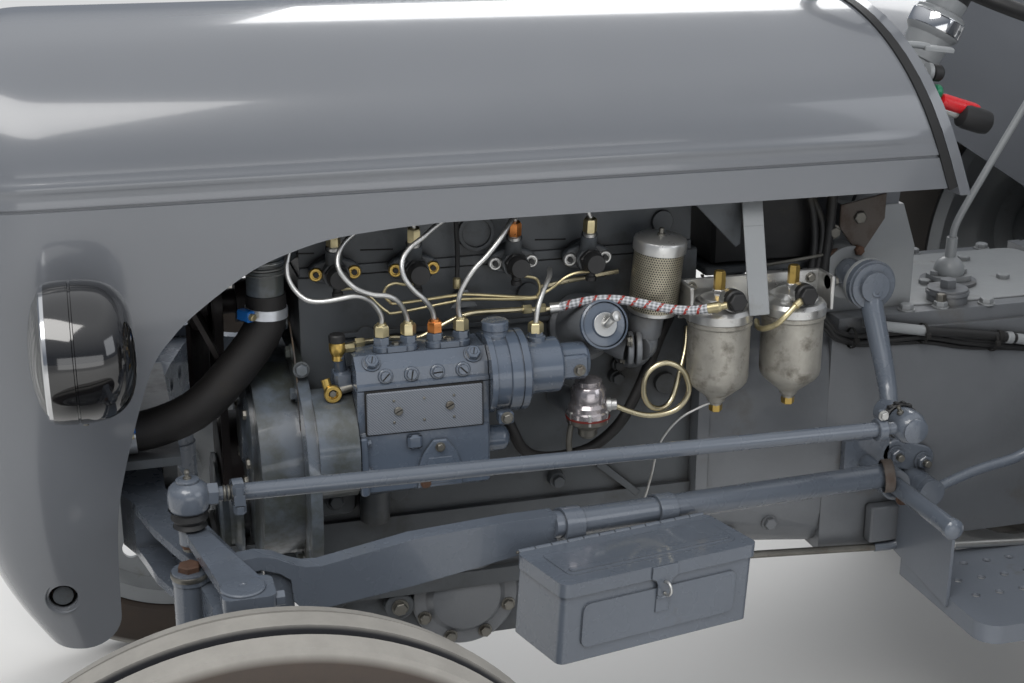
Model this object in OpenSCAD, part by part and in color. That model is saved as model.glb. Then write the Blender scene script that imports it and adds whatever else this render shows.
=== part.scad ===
// Vintage diesel farm tractor. X points to the rear, Y to the tractor's right, Z up.
// Inside the modules x is measured from the front axle line, y from the centre line, z from the ground.

/* [Wheels] */
// Distance between the front and rear axle lines
wheelbase = 1778; // [1700:1:1850]
// Radius of a front tyre over its ribs
front_tyre_r = 345; // [330:1:350]
// Width of a front tyre
front_tyre_w = 112; // [100:1:120]
// Radius of the front rim at the tyre's bead
front_rim_r = 241; // [235:1:250]
// Distance between the middles of the two front tyres
front_track = 1250; // [1240:1:1300]
// Radius of a rear tyre over its lugs
rear_tyre_r = 622; // [610:1:630]
// Width of a rear tyre
rear_tyre_w = 272; // [250:1:280]
// Radius of the rear rim at the tyre's bead
rear_rim_r = 357; // [350:1:370]
// Distance between the middles of the two rear tyres
rear_track = 1320; // [1310:1:1360]
// Number of lugs on each side of a rear tyre
lug_count = 20; // [16:1:22]
// Height of a rear tyre's lugs
lug_h = 27; // [20:1:32]

/* [Bonnet] */
// Half width of the bonnet at its side seam
bonnet_half_w = 234; // [225:1:245]
// Height of the bonnet's crown above the ground
bonnet_top_z = 1190; // [1170:1:1210]
// Height of the seam between the bonnet's top and its side strips
seam_z = 1000; // [990:1:1010]
// Height of the lower edge of the side strips
strip_z = 958; // [950:1:965]
// Thickness of the bonnet's sheet with its folded edges
sheet_t = 3; // [2:0.5:4]
// Rear end of the bonnet at its lower edge
bonnet_rear_x = 949; // [940:1:960]
// Lowest point of the nose
nose_low_z = 450; // [440:1:460]
// Radius of the headlamps
lamp_r = 77; // [70:1:80]

/* [Engine] */
// Height of the crankshaft and the drive line above the ground
crank_z = 600; // [590:1:610]
// Front face of the cylinder block
block_front_x = 125; // [120:1:130]
// Rear face of the cylinder block
block_rear_x = 640; // [630:1:650]
// Height of the joint between block and cylinder head
head_joint_z = 879; // [870:1:885]
// Distance between the injection pump's outlets
pump_pitch = 32; // [30:1:33]
// Radius of a fuel filter bowl
bowl_r = 39; // [36:1:42]

/* [Chassis] */
// Half width of the gearbox
box_half_w = 150; // [140:1:160]
// Height of the gearbox's underside
box_low_z = 425; // [415:1:435]
// Height of the gearbox's top cover
box_top_z = 765; // [755:1:775]
// Radius of the radius rods that stay the front axle
rod_r = 16; // [14:0.5:18]
// Radius of the drag links
link_r = 9.5; // [8:0.5:11]
// Sideways place of a king pin
king_y = 530; // [525:1:535]
// Radius of a king pin
king_r = 17; // [15:0.5:19]
// Length of the lower links between their ball centres
lower_link_l = 820; // [780:1:840]
// Radius of the hole in a lower link's ball
link_ball_r = 11.2; // [11:0.1:11.6]
// Radius of the power take-off shaft
pto_r = 14.3; // [14:0.1:15]
// Radius of the steering wheel to its rim's middle
steer_wheel_r = 216; // [200:1:225]

/* [Hidden] */
$fn = 48;
small_fn = 24;
blend_fn = 32;
run_gap = 0.3;          // between faces of pieces that move past each other
shaft_gap = 0.08;       // between a shaft and its bore
overall_length = 2921;  // from the front tyres to the ends of the lower links
front_axle_x = front_tyre_r - overall_length / 2;
rear_z = rear_tyre_r;
front_z = front_tyre_r;
king_x = 5;
grey = [0.43, 0.46, 0.50];
dark_grey = [0.30, 0.32, 0.35];
tyre_black = [0.12, 0.12, 0.12];
alloy = [0.68, 0.67, 0.63];
chrome = [0.75, 0.76, 0.78];
brass = [0.72, 0.58, 0.28];
hose_black = [0.10, 0.09, 0.09];

// Shared shapes

// Moves a piece that is measured from the front axle line into the part's own frame
module from_axle() translate([front_axle_x, 0, 0]) children();

// A round bar between two points, with a second radius for a taper
module bar(a, b, r, r2 = -1) {
    v = b - a;
    len = norm(v);
    translate(a)
        rotate([0, acos(v[2] / len), atan2(v[1], v[0])])
            cylinder(h = len, r1 = r, r2 = r2 < 0 ? r : r2);
}

// A bent round bar through a list of points, with a slightly larger ball at each bend
module bent_bar(points, r) {
    for (i = [0 : len(points) - 2]) bar(points[i], points[i + 1], r);
    for (i = [1 : 1 : len(points) - 2]) translate(points[i]) sphere(r = r * 1.04);
}

// Path with its corners rounded: each inner point gives way to a short curve between its neighbours
function rounded(p, f = 0.42, n = 4) = concat([p[0]],
    [for (i = [1 : 1 : len(p) - 2]) let (a = p[i] + (p[i - 1] - p[i]) * f, b = p[i] + (p[i + 1] - p[i]) * f)
        for (k = [0 : n]) let (t = k / n) a * (1 - t) * (1 - t) + p[i] * 2 * t * (1 - t) + b * t * t],
    [p[len(p) - 1]]);

function unit(v) = v / norm(v);
function way(p, i) = unit(p[min(i + 1, len(p) - 1)] - p[i] == [0, 0, 0] ? p[i] - p[i - 1]
    : i == 0 ? p[1] - p[0] : unit(p[i + 1] - p[i]) + unit(p[i] - p[i - 1]));
// Side directions carried along the path without twist
function sides(p, i = 0, last = [0, 0, 0]) = i >= len(p) ? [] : let (t = way(p, i),
    seed = i > 0 ? last : abs(t[2]) < 0.9 ? [0, 0, 1] : [1, 0, 0], u = unit(seed - t * (seed * t)))
    concat([[u, cross(t, u)]], sides(p, i + 1, u));

// A round hose or pipe swept along a rounded path, with a second radius for a taper
module hose(points, r, r_end = -1, n = 20) {
    p = rounded(points);
    s = sides(p);
    m = len(p);
    polyhedron([for (i = [0 : m - 1]) for (k = [0 : n - 1])
            let (q = r + ((r_end < 0 ? r : r_end) - r) * i / (m - 1))
            p[i] + s[i][0] * q * cos(k * 360 / n) + s[i][1] * q * sin(k * 360 / n)],
        concat([[for (k = [0 : n - 1]) k]], [[for (k = [n - 1 : -1 : 0]) (m - 1) * n + k]],
            [for (i = [0 : m - 2]) for (k = [0 : n - 1]) for (h = [0, 1]) let (q = (k + 1) % n)
                h == 0 ? [i * n + k, (i + 1) * n + k, (i + 1) * n + q]
                    : [i * n + k, (i + 1) * n + q, i * n + q]]));
}

// A cylinder along Y, centred on a point
module disc_y(p, r, t) translate(p) rotate([90, 0, 0]) cylinder(h = t, r = r, center = true, $fn = $fn);

// A cylinder along X that starts at a point
module disc_x(p, r, t) translate(p) rotate([0, 90, 0]) cylinder(h = t, r = r);

// A box between two corners
module block(a, b) translate(a) cube(b - a);

// A side view outline drawn in x and z, and made thick between two sideways places
module side_plate(y0, y1) translate([0, y1, 0]) rotate([90, 0, 0]) linear_extrude(y1 - y0) children();

// A flat outline with round corners between two corners
module round_flat(a, b, r) {
    translate(a + [r, 0]) square([b[0] - a[0] - 2 * r, b[1] - a[1]]);
    translate(a + [0, r]) square([b[0] - a[0], b[1] - a[1] - 2 * r]);
    for (x = [a[0] + r, b[0] - r], y = [a[1] + r, b[1] - r]) translate([x, y]) circle(r = r);
}

// A hexagon nut or bolt head along a direction given by two points
module hex_head(a, b, r) {
    v = b - a;
    len = norm(v);
    translate(a) rotate([0, acos(v[2] / len), atan2(v[1], v[0])]) cylinder(h = len, r = r, $fn = 6);
}

// Puts a piece on both sides of the tractor
module both_sides() for (side = [-1, 1]) scale_side(side) children();
module scale_side(side) mirror([0, side > 0 ? 1 : 0, 0]) children();

// Points of a superellipse quarter from angle a0 to a1
function oval(cx, cz, rx, rz, power, a0, a1, n) = [for (i = [0 : n])
    let (a = a0 + (a1 - a0) * i / n, c = cos(a), s = sin(a))
    [cx + rx * sign(c) * pow(abs(c), 2 / power), cz + rz * sign(s) * pow(abs(s), 2 / power)]];

// Bonnet

nose_x = -288;           // foremost point of the nose
nose_turn_x = -150;      // where the nose's curves meet the straight sides and crown
nose_turn_z = 800;       // height above which the nose's front leans back
nose_tuck = 78;          // how far the nose draws back at its lowest end
rear_lean = 93 / 230;    // how far the bonnet's rear edge leans forward for each mm of height
arch_x0 = -112;          // rear edge of the nose at its lowest end
bonnet_low_half_w = 192; // half width at the nose's lowest end
rear_z1 = bonnet_top_z + 30;

// Half width of the bonnet at a height, less an inset
function half_w(z, inset) = (z >= seam_z
    ? bonnet_half_w * pow(max(0, 1 - pow((z - seam_z) / (bonnet_top_z - seam_z), 2.35)), 1 / 2.35)
    : bonnet_half_w - (bonnet_half_w - bonnet_low_half_w)
        * pow(min(1, (seam_z - z) / (seam_z - nose_low_z)), 1.6))
    - inset;

// Foremost x at a height on the centre line, less an inset
function nose_front(z, inset) = inset + (z >= nose_turn_z
    ? nose_turn_x - (nose_turn_x - nose_x)
        * pow(max(0, 1 - pow((z - nose_turn_z) / (bonnet_top_z - nose_turn_z), 3.2)), 1 / 3.2)
    : nose_x + nose_tuck * pow(min(1, (nose_turn_z - z) / (nose_turn_z - nose_low_z)), 4));

// Foremost x at a height and a sideways place
function nose_at(y, z, inset) = let (w = half_w(z, inset), f = nose_front(z, inset))
    nose_turn_x - (nose_turn_x - f) * pow(max(0, 1 - pow(min(1, abs(y) / w), 3)), 1 / 3);

crown_steps = 9;
nose_steps = 8;
low_levels = [nose_low_z - 30, nose_low_z, nose_low_z + 30, 540, 640, 740, nose_turn_z, 880, 950];

// Heights where the bonnet's shape is taken, and where a skin with an inset has them
function crown_levels(top) = [for (i = [0 : crown_steps]) seam_z + (top - seam_z) * sin(90 * i / crown_steps)];
shape_levels = concat(low_levels, crown_levels(bonnet_top_z));

// One level of the skin: along the left side, round the nose and back along the right side
function skin_loop(shape_z, z, inset, rear) =
    let (w = max(1, half_w(shape_z, inset)), f = nose_front(shape_z, inset))
    concat([[rear, -w, z]],
        [for (i = [-nose_steps : nose_steps]) let (a = 90 * i / nose_steps, c = cos(a), s = sin(a))
            [nose_turn_x - (nose_turn_x - f) * pow(c, 2 / 3), w * sign(s) * pow(abs(s), 2 / 3), z]],
        [[rear, w, z]]);

// Solid inside the bonnet's outer face, or inside its inner face with an inset
module bonnet_form(inset, rear) {
    levels = concat(low_levels, crown_levels(bonnet_top_z - inset));
    rows = len(levels);
    cols = 2 * nose_steps + 3;
    points = [for (i = [0 : rows - 1])
        each skin_loop(shape_levels[i], levels[i] - (i == 0 ? inset : 0), inset, rear)];
    sides = [for (i = [0 : rows - 2], j = [0 : cols - 1]) let (k = (j + 1) % cols)
        [i * cols + j, i * cols + k, (i + 1) * cols + k, (i + 1) * cols + j]];
    polyhedron(points, concat(sides, [[for (j = [cols - 1 : -1 : 0]) j]],
        [[for (j = [0 : cols - 1]) (rows - 1) * cols + j]]));
}

// Outline of the bonnet's cross section above a height, less an inset
module crown_section(inset, low_z) {
    z = concat([low_z], crown_levels(bonnet_top_z - inset));
    shape = concat([low_z], crown_levels(bonnet_top_z));
    left = [for (i = [0 : len(z) - 1]) [-max(1, half_w(shape[i], inset)), z[i]]];
    polygon(concat(left, [for (i = [len(z) - 1 : -1 : 0]) [-left[i][0], left[i][1]]]));
}

// Edge of the engine opening behind the nose, then along the strips' lower edge
arch_edge = [[arch_x0, nose_low_z], [-107, 617], [-90, 700], [-57, 805], [-30, 845], [3, 876], [61, 916],
    [110, 936], [164, 949], [260, 957], [367, strip_z], [bonnet_rear_x, strip_z]];

grille_half_w = 148;
grille_low_half_w = 108;
grille_z = [505, 1015];

// Outline of the grille's opening, seen from the front
module grille_face(grow) polygon([
    [-grille_low_half_w - grow, grille_z[0] - grow], [grille_low_half_w + grow, grille_z[0] - grow],
    [grille_half_w + grow, grille_z[1] - 70], [grille_half_w - 36 + grow, grille_z[1] - 14],
    [grille_half_w - 90 + grow, grille_z[1] + grow], [-grille_half_w + 90 - grow, grille_z[1] + grow],
    [-grille_half_w + 36 - grow, grille_z[1] - 14], [-grille_half_w - grow, grille_z[1] - 70]]);

pivot = [-177, 0, 525];
pivot_y = [182, 197];      // inner and outer face of the hinge ring
pivot_r = 12;

module bonnet() from_axle() color(grey) {
    for (side = [-1, 1]) difference() {
        disc_y([pivot[0], side * (pivot_y[0] + pivot_y[1]) / 2, pivot[2]], 24, pivot_y[1] - pivot_y[0]);
        disc_y([pivot[0], side * (pivot_y[0] + pivot_y[1]) / 2, pivot[2]], pivot_r + shaft_gap, 60);
    }
    difference() {
        bonnet_form(0, bonnet_rear_x + 60);
        bonnet_form(sheet_t, bonnet_rear_x + 80);
        side_plate(-400, 400) polygon(concat(arch_edge,
            [[bonnet_rear_x + 90, strip_z], [bonnet_rear_x + 90, 300], [arch_x0, 300]]));
        side_plate(-400, 400) polygon([[bonnet_rear_x, strip_z - 1], [bonnet_rear_x + 90, strip_z - 1],
            [bonnet_rear_x + 90, rear_z1], [bonnet_rear_x - (rear_z1 - strip_z) * rear_lean, rear_z1]]);
        side_plate(-400, 400) difference() {
            polygon([[-400, nose_low_z - 60], [0, nose_low_z - 60], [0, nose_low_z + 42],
                [-400, nose_low_z + 42]]);
            translate([arch_x0 - 42, nose_low_z + 42]) circle(r = 42);
            polygon([[-400, nose_low_z + 62], [-400, nose_low_z + 24], [-230, nose_low_z + 4],
                [arch_x0 - 42, nose_low_z],
                [arch_x0 - 42, nose_low_z + 62]]);
        }
        translate([-400, 0, 0]) rotate([90, 0, 90]) linear_extrude(200) grille_face(0);
        for (side = [-1, 1]) disc_y([pivot[0], side * 195, pivot[2]], 17, 60);
    }
}

slat_count = 10;
slat_t = 4;
slat_pitch = 13.4;
slat_depth = 12;
slat_levels = [500, 600, 700, 800, 880, 940, 990, 1019];

// Half width of the grille's opening at a height
function grille_w(z) = grille_low_half_w + (grille_half_w - grille_low_half_w)
    * (z - grille_z[0]) / (grille_z[1] - 70 - grille_z[0]) - (z > 945 ? (z - 945) * 1.1 : 0);

// Upright slats that follow the nose, in two banks beside a middle post, and the bars behind them
module grille() from_axle() color(grey) intersection() {
    bonnet_form(sheet_t + run_gap, 0);
    union() {
        for (i = [-slat_count : slat_count]) let (y = i * slat_pitch, t = i == 0 ? 18 : slat_t,
            zs = [for (z = slat_levels) if (grille_w(z) + 6 > abs(y)) z]) if (len(zs) > 1)
            side_plate(y - t / 2, y + t / 2) polygon(concat(
                [for (z = zs) [nose_at(y, z, -8), z]],
                [for (k = [len(zs) - 1 : -1 : 0]) [nose_at(y, zs[k], sheet_t) + slat_depth, zs[k]]]));
        for (z = [520, 760, 990]) translate([0, 0, z - 7]) linear_extrude(14) let (w = grille_w(z) + 6)
            polygon(concat([for (i = [-6 : 6]) [nose_at(i * w / 6, z, -8), i * w / 6]],
                [for (i = [6 : -1 : -6]) [nose_at(i * w / 6, z, sheet_t + 14), i * w / 6]]));
    }
}

lamp = [-165, -312, 865];

// A headlamp turned about X: domed glass, rim and pot, on a stub from the nose
module headlamps() from_axle() color(dark_grey) both_sides() {
    translate(lamp) rotate([0, 90, 0]) rotate_extrude() polygon(concat([[0, -18]],
        [for (a = [20 : 20 : 80]) [(lamp_r - 11) * sin(a), -18 * cos(a)]],
        [[lamp_r - 10, 0], [lamp_r - 4, 4], [lamp_r - 1, 14], [lamp_r, 27], [lamp_r - 1, 44]],
        [for (a = [10 : 16 : 90]) [(lamp_r - 2) * pow(cos(a), 0.8), 46 + 46 * sin(a)]],
        [[0, 92]]));
    bar([lamp[0] + 45, lamp[1] + lamp_r - 12, lamp[2]], [lamp[0] + 45, -half_w(lamp[2], -6), lamp[2]], 13);
    bar([lamp[0] + 45, -half_w(lamp[2], -6.5), lamp[2]], [lamp[0] + 45, -half_w(lamp[2], -1.3), lamp[2]], 19);
}

// Cooling

radiator_x = [-192, -112];
radiator_z = [680, 1120];     // underside of the lower tank and top of the upper tank
tank_h = [44, 60];            // heights of the lower and upper tanks

module radiator() from_axle() color(dark_grey) {
    block([radiator_x[0] + 6, -176, radiator_z[0] + tank_h[0]],
        [radiator_x[1] - 4, 176, radiator_z[1] - tank_h[1]]);
    block([radiator_x[0], -172, radiator_z[1] - tank_h[1]], [radiator_x[1], 172, radiator_z[1]]);
    block([radiator_x[0], -172, radiator_z[0]], [radiator_x[1], 172, radiator_z[0] + tank_h[0]]);
    bar([radiator_x[1] - 34, 0, radiator_z[1] - 2], [radiator_x[1] - 34, 0, radiator_z[1] + 22], 28);
}

hose_r = 24;

// Lower and upper coolant hoses
hose_top = [84, -158, 868];
module hoses() from_axle() color(hose_black) {
    low_z = radiator_z[0] + hose_r + 2;
    hose([[radiator_x[1], -150, low_z], [-60, -150, low_z], [4, -160, 732], [hose_top[0], hose_top[1], 822],
        hose_top], hose_r);
    hose([[radiator_x[1], 60, 1088], [-30, 60, 1088], [92, 60, 1070], [92, 60, 970]], 20);
}

fan_x = 10;
fan_z = 815;
fan_r = 138;

// Water pump, four bladed fan, pulleys and belt
pulley_x = [28, 56];
module fan() from_axle() color(dark_grey) {
    disc_x([fan_x - 8, 0, fan_z], 34, 22);
    disc_x([fan_x, 0, fan_z], 16, 60);
    disc_x([fan_x + 52, 0, fan_z], 28, block_front_x - fan_x - 52);
    for (a = [0 : 90 : 270]) translate([fan_x + 2, 0, fan_z]) rotate([a, 0, 0]) rotate([0, 0, 24])
        translate([-3, -32, 20]) cube([6, 64, fan_r - 20]);
    disc_x([pulley_x[0], 0, fan_z], 54, 14);
    disc_x([pulley_x[0], 0, crank_z], 62, pulley_x[1] - pulley_x[0]);
    disc_x([pulley_x[1] - 1, 0, crank_z], 24, 6);
    difference() {
        hull() {
            disc_x([pulley_x[0] + 2, 0, fan_z], 58, 10);
            disc_x([pulley_x[0] + 2, 0, crank_z], 66, 10);
        }
        hull() {
            disc_x([pulley_x[0] + 1, 0, fan_z], 52, 12);
            disc_x([pulley_x[0] + 1, 0, crank_z], 60, 12);
        }
    }
}

module fuel_tank() from_axle() color(dark_grey) {
    for (x = [300, 520]) block([x, -62, rocker_z[1]], [x + 26, 62, 1088]);
    tank_shell();
}
module tank_shell() intersection() {
    side_plate(-190, 190) polygon([[tank_x[0], 1085], [tank_x[1] - 60, 1060], [tank_x[1], 1090],
        [tank_x[1], 1200], [tank_x[0], 1200]]);
    translate([tank_x[0], 0, 0]) rotate([90, 0, 90]) linear_extrude(tank_x[1] - tank_x[0])
        crown_section(22, 1060);
}

// Instrument panel that closes the bonnet's rear, and its brackets down to the steering box
dash_gap = 6;
module dash() from_axle() color(grey) {
    difference() {
        intersection() {
            translate([bonnet_rear_x + dash_gap, 0, strip_z]) rotate([0, -atan(rear_lean), 0])
                block([0, -260, -40], [14, 260, 300]);
            translate([700, 0, 0]) rotate([90, 0, 90]) linear_extrude(400) crown_section(-2, strip_z - 30);
        }
        block([800, -165, 900], [1100, 165, 1010]);
        block([800, -300, 900], [1100, 300, strip_z - 10]);
    }
    for (side = [-1, 1]) side_plate(side * 84 - 4, side * 84 + 4)
        polygon([[888, 905], [958, 905], [966, 985], [950, 1024], [932, 1024]]);
    block([930, -88, 1008], [952, 88, 1020]);
    disc_x([905, -90, 1070], 40, 30);
    disc_x([905, 90, 1070], 40, 30);
}

// Engine

sump_low_z = 345;
ledge_z = 556;               // where the block's lower, wider part begins
block_half_w = 142;
rocker_z = [962, 1040];      // top of the head and top of the rocker cover
tank_x = [214, 690];         // front and rear end of the fuel tank
module engine_block() from_axle() color(grey) {
    difference() {
        block([block_front_x, -block_half_w, ledge_z], [block_rear_x, block_half_w, head_joint_z]);
        for (side = [-1, 1]) block([block_front_x - 1, side * block_half_w - 2, head_joint_z - 1.5],
            [block_rear_x + 1, side * block_half_w + 2, head_joint_z + 1]);
    }
    block([block_front_x, -150, 470], [block_rear_x, 150, ledge_z]);
    block([block_front_x, -162, 448], [block_rear_x, 162, 470]);
    side_plate(-140, 140) polygon([[block_front_x + 20, 450], [block_rear_x, 450],
        [block_rear_x, 405], [470, 365], [230, 365], [block_front_x + 20, 400]]);
    translate([348, -40, sump_low_z]) cylinder(h = 24, r = 72);
    block([block_front_x + 30, 140, 700], [block_rear_x - 40, 158, 860]);
    // bosses, pads and a slanting rib on the left face: x, z, radius and height of each
    for (b = [[451, 582, 11, 14], [531, 716, 10, 12], [412, 838, 13, 5], [325, 840, 10, 8], [205, 800, 12, 5],
            [600, 700, 14, 8], [240, 590, 12, 9]])
        disc_y([b[0], -block_half_w - b[3] / 2 + 1, b[1]], b[2], b[3] + 2);
    for (b = [[451, 582, 15], [531, 716, 13]])
        hex_head([b[0], -block_half_w - b[2] + 1, b[1]], [b[0], -block_half_w - b[2] - 6, b[1]], 8);
    block([170, -block_half_w - 5, 800], [470, -block_half_w + 1, 806]);
    side_plate(-block_half_w - 9, -block_half_w + 1) polygon([[505, 594], [513, 600], [568, 551], [562, 545]]);
}

head_flange_y = block_half_w + 3;
module cylinder_head() from_axle() color(dark_grey) {
    block([block_front_x + 2, -block_half_w, head_joint_z], [block_rear_x - 10, block_half_w, rocker_z[0]]);
    block([block_front_x + 2, -head_flange_y, head_joint_z + 1], [block_rear_x - 10, head_flange_y, 891]);
    difference() {
        disc_y([346, -block_half_w - 1, 920], 23, 8);
        disc_y([346, -block_half_w - 5, 920], 18, 6);
    }
    disc_y([590, -block_half_w - 1, 918], 14, 8);
    hull() {
        block([block_front_x + 30, -88, rocker_z[0] - 1], [block_rear_x - 50, 88, 990]);
        block([block_front_x + 44, -72, 990], [block_rear_x - 64, 72, rocker_z[1]]);
    }
    bar([430, 0, rocker_z[1] - 4], [430, 0, rocker_z[1] + 12], 26);
    bar([block_front_x + 4, -112, 920], [hose_top[0] + 8, hose_top[1] + 8, 910], 19);
    bar(hose_top + [0, 0, run_gap], hose_top + [0, 0, 62], 22);
    bar([block_front_x + 4, 60, 940], [90, 60, 940], 24);
    bar([92, 60, 940], [92, 60, 970], 21);
}

// Front plate, cover of the timing gears and the pump drive's housing behind the plate
case_x = [61, 111];
module timing_case() from_axle() color(grey) {
    translate([case_x[1], 0, 0]) rotate([90, 0, 90]) linear_extrude(block_front_x - case_x[1])
        polygon(oval(-70, 640, 205, 145, 2.6, 0, 354, 29));
    translate([case_x[0], 0, 0]) rotate([90, 0, 90]) linear_extrude(case_x[1] - case_x[0] + 1)
        polygon(oval(-60, 640, 172, 128, 2.4, 0, 354, 29));
    difference() {
        disc_x([block_front_x - 1, -208, 690], 66, pump_x0 - block_front_x + 1 - run_gap);
        block([block_front_x - 2, -block_half_w - run_gap, 600], [pump_x0, 0, 800]);
    }
}

pump_x0 = 172;   // front flange of the injection pump
pump_end_x = 331;  // rear end of the pump's body, where the governor begins
pump_x = 209;    // first outlet
pump_y = -226;
// In-line injection pump: cam box, cover plate, delivery valves, governor and end cap
module injection_pump() from_axle() color(grey) {
    translate([pump_x0, 0, 0]) rotate([90, 0, 90]) linear_extrude(pump_end_x - pump_x0)
        polygon([[-262, 640], [-190, 640], [-190, 806], [-238, 806], [-252, 792], [-254, 775],
            [-259, 775], [-259, 718], [-262, 716]]);
    for (x = [pump_x0, pump_end_x - 9]) block([x, -265, 652], [x + 9, -255, 712]);
    for (i = [0 : 3]) {
        bar([pump_x + i * pump_pitch, pump_y, 804], [pump_x + i * pump_pitch, pump_y, 824], 10);
        hex_head([pump_x + i * pump_pitch, pump_y, 822], [pump_x + i * pump_pitch, pump_y, 838], 9);
    }
    for (i = [0, 1]) block([pump_x + 8 + i * 64, pump_y - 10, 804], [pump_x + 24 + i * 64, pump_y + 10, 814]);
    disc_x([pump_end_x - 1, pump_y, 760], 44, 31);
    translate([pump_end_x + 30, pump_y, 760]) rotate([0, 90, 0]) rotate_extrude()
        polygon([[0, 0], [48, 0], [48, 12], [45, 16], [32, 18], [32, 56], [28, 60], [22, 62], [22, 92],
            [17, 98], [0, 98]]);
    bar([346, pump_y, 800], [346, pump_y, 828], 16);
    bar([398, pump_y, 785], [398, pump_y, 812], 10);
    hex_head([398, pump_y, 810], [398, pump_y, 832], 9);
    translate([pump_end_x - 1, pump_y - 6, 677]) rotate([0, 90, 0]) rotate_extrude()
        polygon([[0, 0], [17, 0], [17, 34], [14, 40], [8, 43], [0, 44]]);
    disc_x([173, pump_y, 790], 9, 6);
    block([pump_x0, -192, 650], [pump_end_x, -block_half_w - run_gap, 720]);
}

injector_x = [166, 264, 389, 487];
// Four injectors leaning out of the head, each with its clamp, cap and brass unions
module injectors() from_axle() color(dark_grey) {
    for (x = injector_x) {
        bar([x, -head_flange_y - run_gap, 884], [x, -192, 884], 15);
        bar([x, -188, 884], [x, -208, 880], 12);
        bar([x, -168, 884], [x, -172, 918], 9);
        hex_head([x, -172, 916], [x, -174, 934], 8);
        translate([x, -head_flange_y - run_gap, 884]) rotate([90, 0, 0]) linear_extrude(16)
            round_flat([-32, -10], [32, 10], 9.5);
        for (side = [-1, 1]) hex_head([x + side * 22, -150, 882], [x + side * 22, -168, 884], 7);
    }
}

// Perforated breather on a bent filler pipe
module breather() from_axle() color(alloy) {
    bent_bar([[545, -block_half_w - run_gap, 750], [545, -188, 750], [551, -192, 790]], 17);
    bar([551, -192, 786], [553, -194, 812], 22);
    bar([553, -194, 812], [567, -204, 914], 31);
    bar([567, -204, 912], [568, -205, 920], 33);
    bar([568, -205, 918], [569, -206, 932], 4);
}

filter_x = [634, 734];
filter_y = -235;
// Two filter bowls under cast heads that share one bracket plate
module fuel_filters() from_axle() color(alloy) {
    for (x = filter_x) {
        translate([x, filter_y, 0]) rotate_extrude() polygon([[0, 694], [9, 694], [10, 704], [bowl_r - 12, 712],
            [bowl_r - 2, 726], [bowl_r, 740], [bowl_r, 812], [bowl_r + 3, 814], [bowl_r + 3, 826],
            [bowl_r - 2, 830], [bowl_r - 12, 842], [0, 846]]);
        hex_head([x + 4, filter_y - 30, 832], [x + 4, filter_y - bowl_r - 12, 834], 15);
        hex_head([x, filter_y, 845], [x, filter_y, 868], 9);
    }
    block([filter_x[0] - 42, -204, 806], [filter_x[1] + 50, -196, 856]);
    block([filter_x[0] - 20, -205, 815], [filter_x[0] + 20, -190, 845]);
    block([filter_x[1] - 20, -205, 815], [filter_x[1] + 20, -190, 845]);
    for (x = [filter_x[0] - 30, filter_x[1] + 38])
        block([x - 8, -198, 812], [x + 8, -block_half_w - run_gap, 828]);
}

// Exhaust manifold, down pipe and silencer low on the right
manifold_y = 186;
module exhaust() from_axle() color(dark_grey) {
    disc_x([150, manifold_y, 925], 25, 440);
    for (x = injector_x) disc_y([x, (block_half_w + manifold_y) / 2, 925], 17, manifold_y - block_half_w);
    bar([572, manifold_y, 912], [600, 214, 560], 20);
    translate([600, 214, 560]) sphere(r = 21);
    bar([600, 214, 560], [720, 222, 452], 19);
    disc_x([690, 222, 448], 42, 205);
    disc_x([890, 222, 448], 19, 46);
    block([850, box_half_w, 470], [865, 200, 500]);
}

// Front axle and steering

axle_z = [561, 629];          // underside and top of the middle beam
axle_x = [-102, -48];         // front and rear face of the middle beam
axle_end_z = [572, 640];      // underside and top of the axle's outer ends
king_z = [545, 655];          // underside and top of a king pin boss
arm_top_z = 677;
arm_low_z = 665;
rod_eye = [-40, -428];        // bolt that holds the front of a radius rod on the axle
arm_ball = [-33, -375, 713];
drop_ball = [862, -318, 675];
drop_hub = [859, -150, 829];
support_z = [669, radiator_z[0]];
axle_pin_r = 17;
axle_pin_z = 598;

// Casting that carries the radiator and the bonnet's hinge pins, with the axle's pin below it
module front_support() from_axle() color(dark_grey) {
    block([radiator_x[0], -178, support_z[0]], [axle_x[1] + 20, 178, support_z[1]]);
    for (x = [axle_x[0] - 20, axle_x[1] + 2]) translate([x, 0, 0]) rotate([90, 0, 90]) linear_extrude(18)
        polygon([[-86, support_z[0] + 1], [-40, axle_pin_z - 30], [-24, axle_pin_z - 44], [24, axle_pin_z - 44],
            [40, axle_pin_z - 30], [86, support_z[0] + 1]]);
    disc_x([axle_x[0] - 28, 0, axle_pin_z], axle_pin_r, 98);
    disc_x([axle_x[0] - 34, 0, axle_pin_z], 26, 15);
    side_plate(-60, 60) polygon([[axle_x[1] + 3, 590], [axle_x[1] + 20, 580], [14, 500], [block_front_x, 492],
        [block_front_x, 452], [10, 452], [axle_x[1] + 3, 535]]);
    for (side = [-1, 1]) {
        side_plate(side * 173 - 5, side * 173 + 5) polygon([[radiator_x[0], support_z[1]], [-135, support_z[1]],
            [-152, 520], [-165, 505], [-188, 505], [-197, 520]]);
        disc_y([pivot[0], side * 184, pivot[2]], pivot_r, 20);
    }
}

// Front and rear edge of an outer arm of the axle, seen from above
arm_front = [[axle_x[0], -149], [-88, -190], [-69, -286], [-49, -343], [-37, -374], [-33, -430], [-20, -512]];
arm_rear = [[32, -512], [40, -469], [33, -421], [12, -368], [-10, -291], [-38, -190], [axle_x[1], -149]];
channel_wall = 11;       // thickness of the web and the flanges

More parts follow.
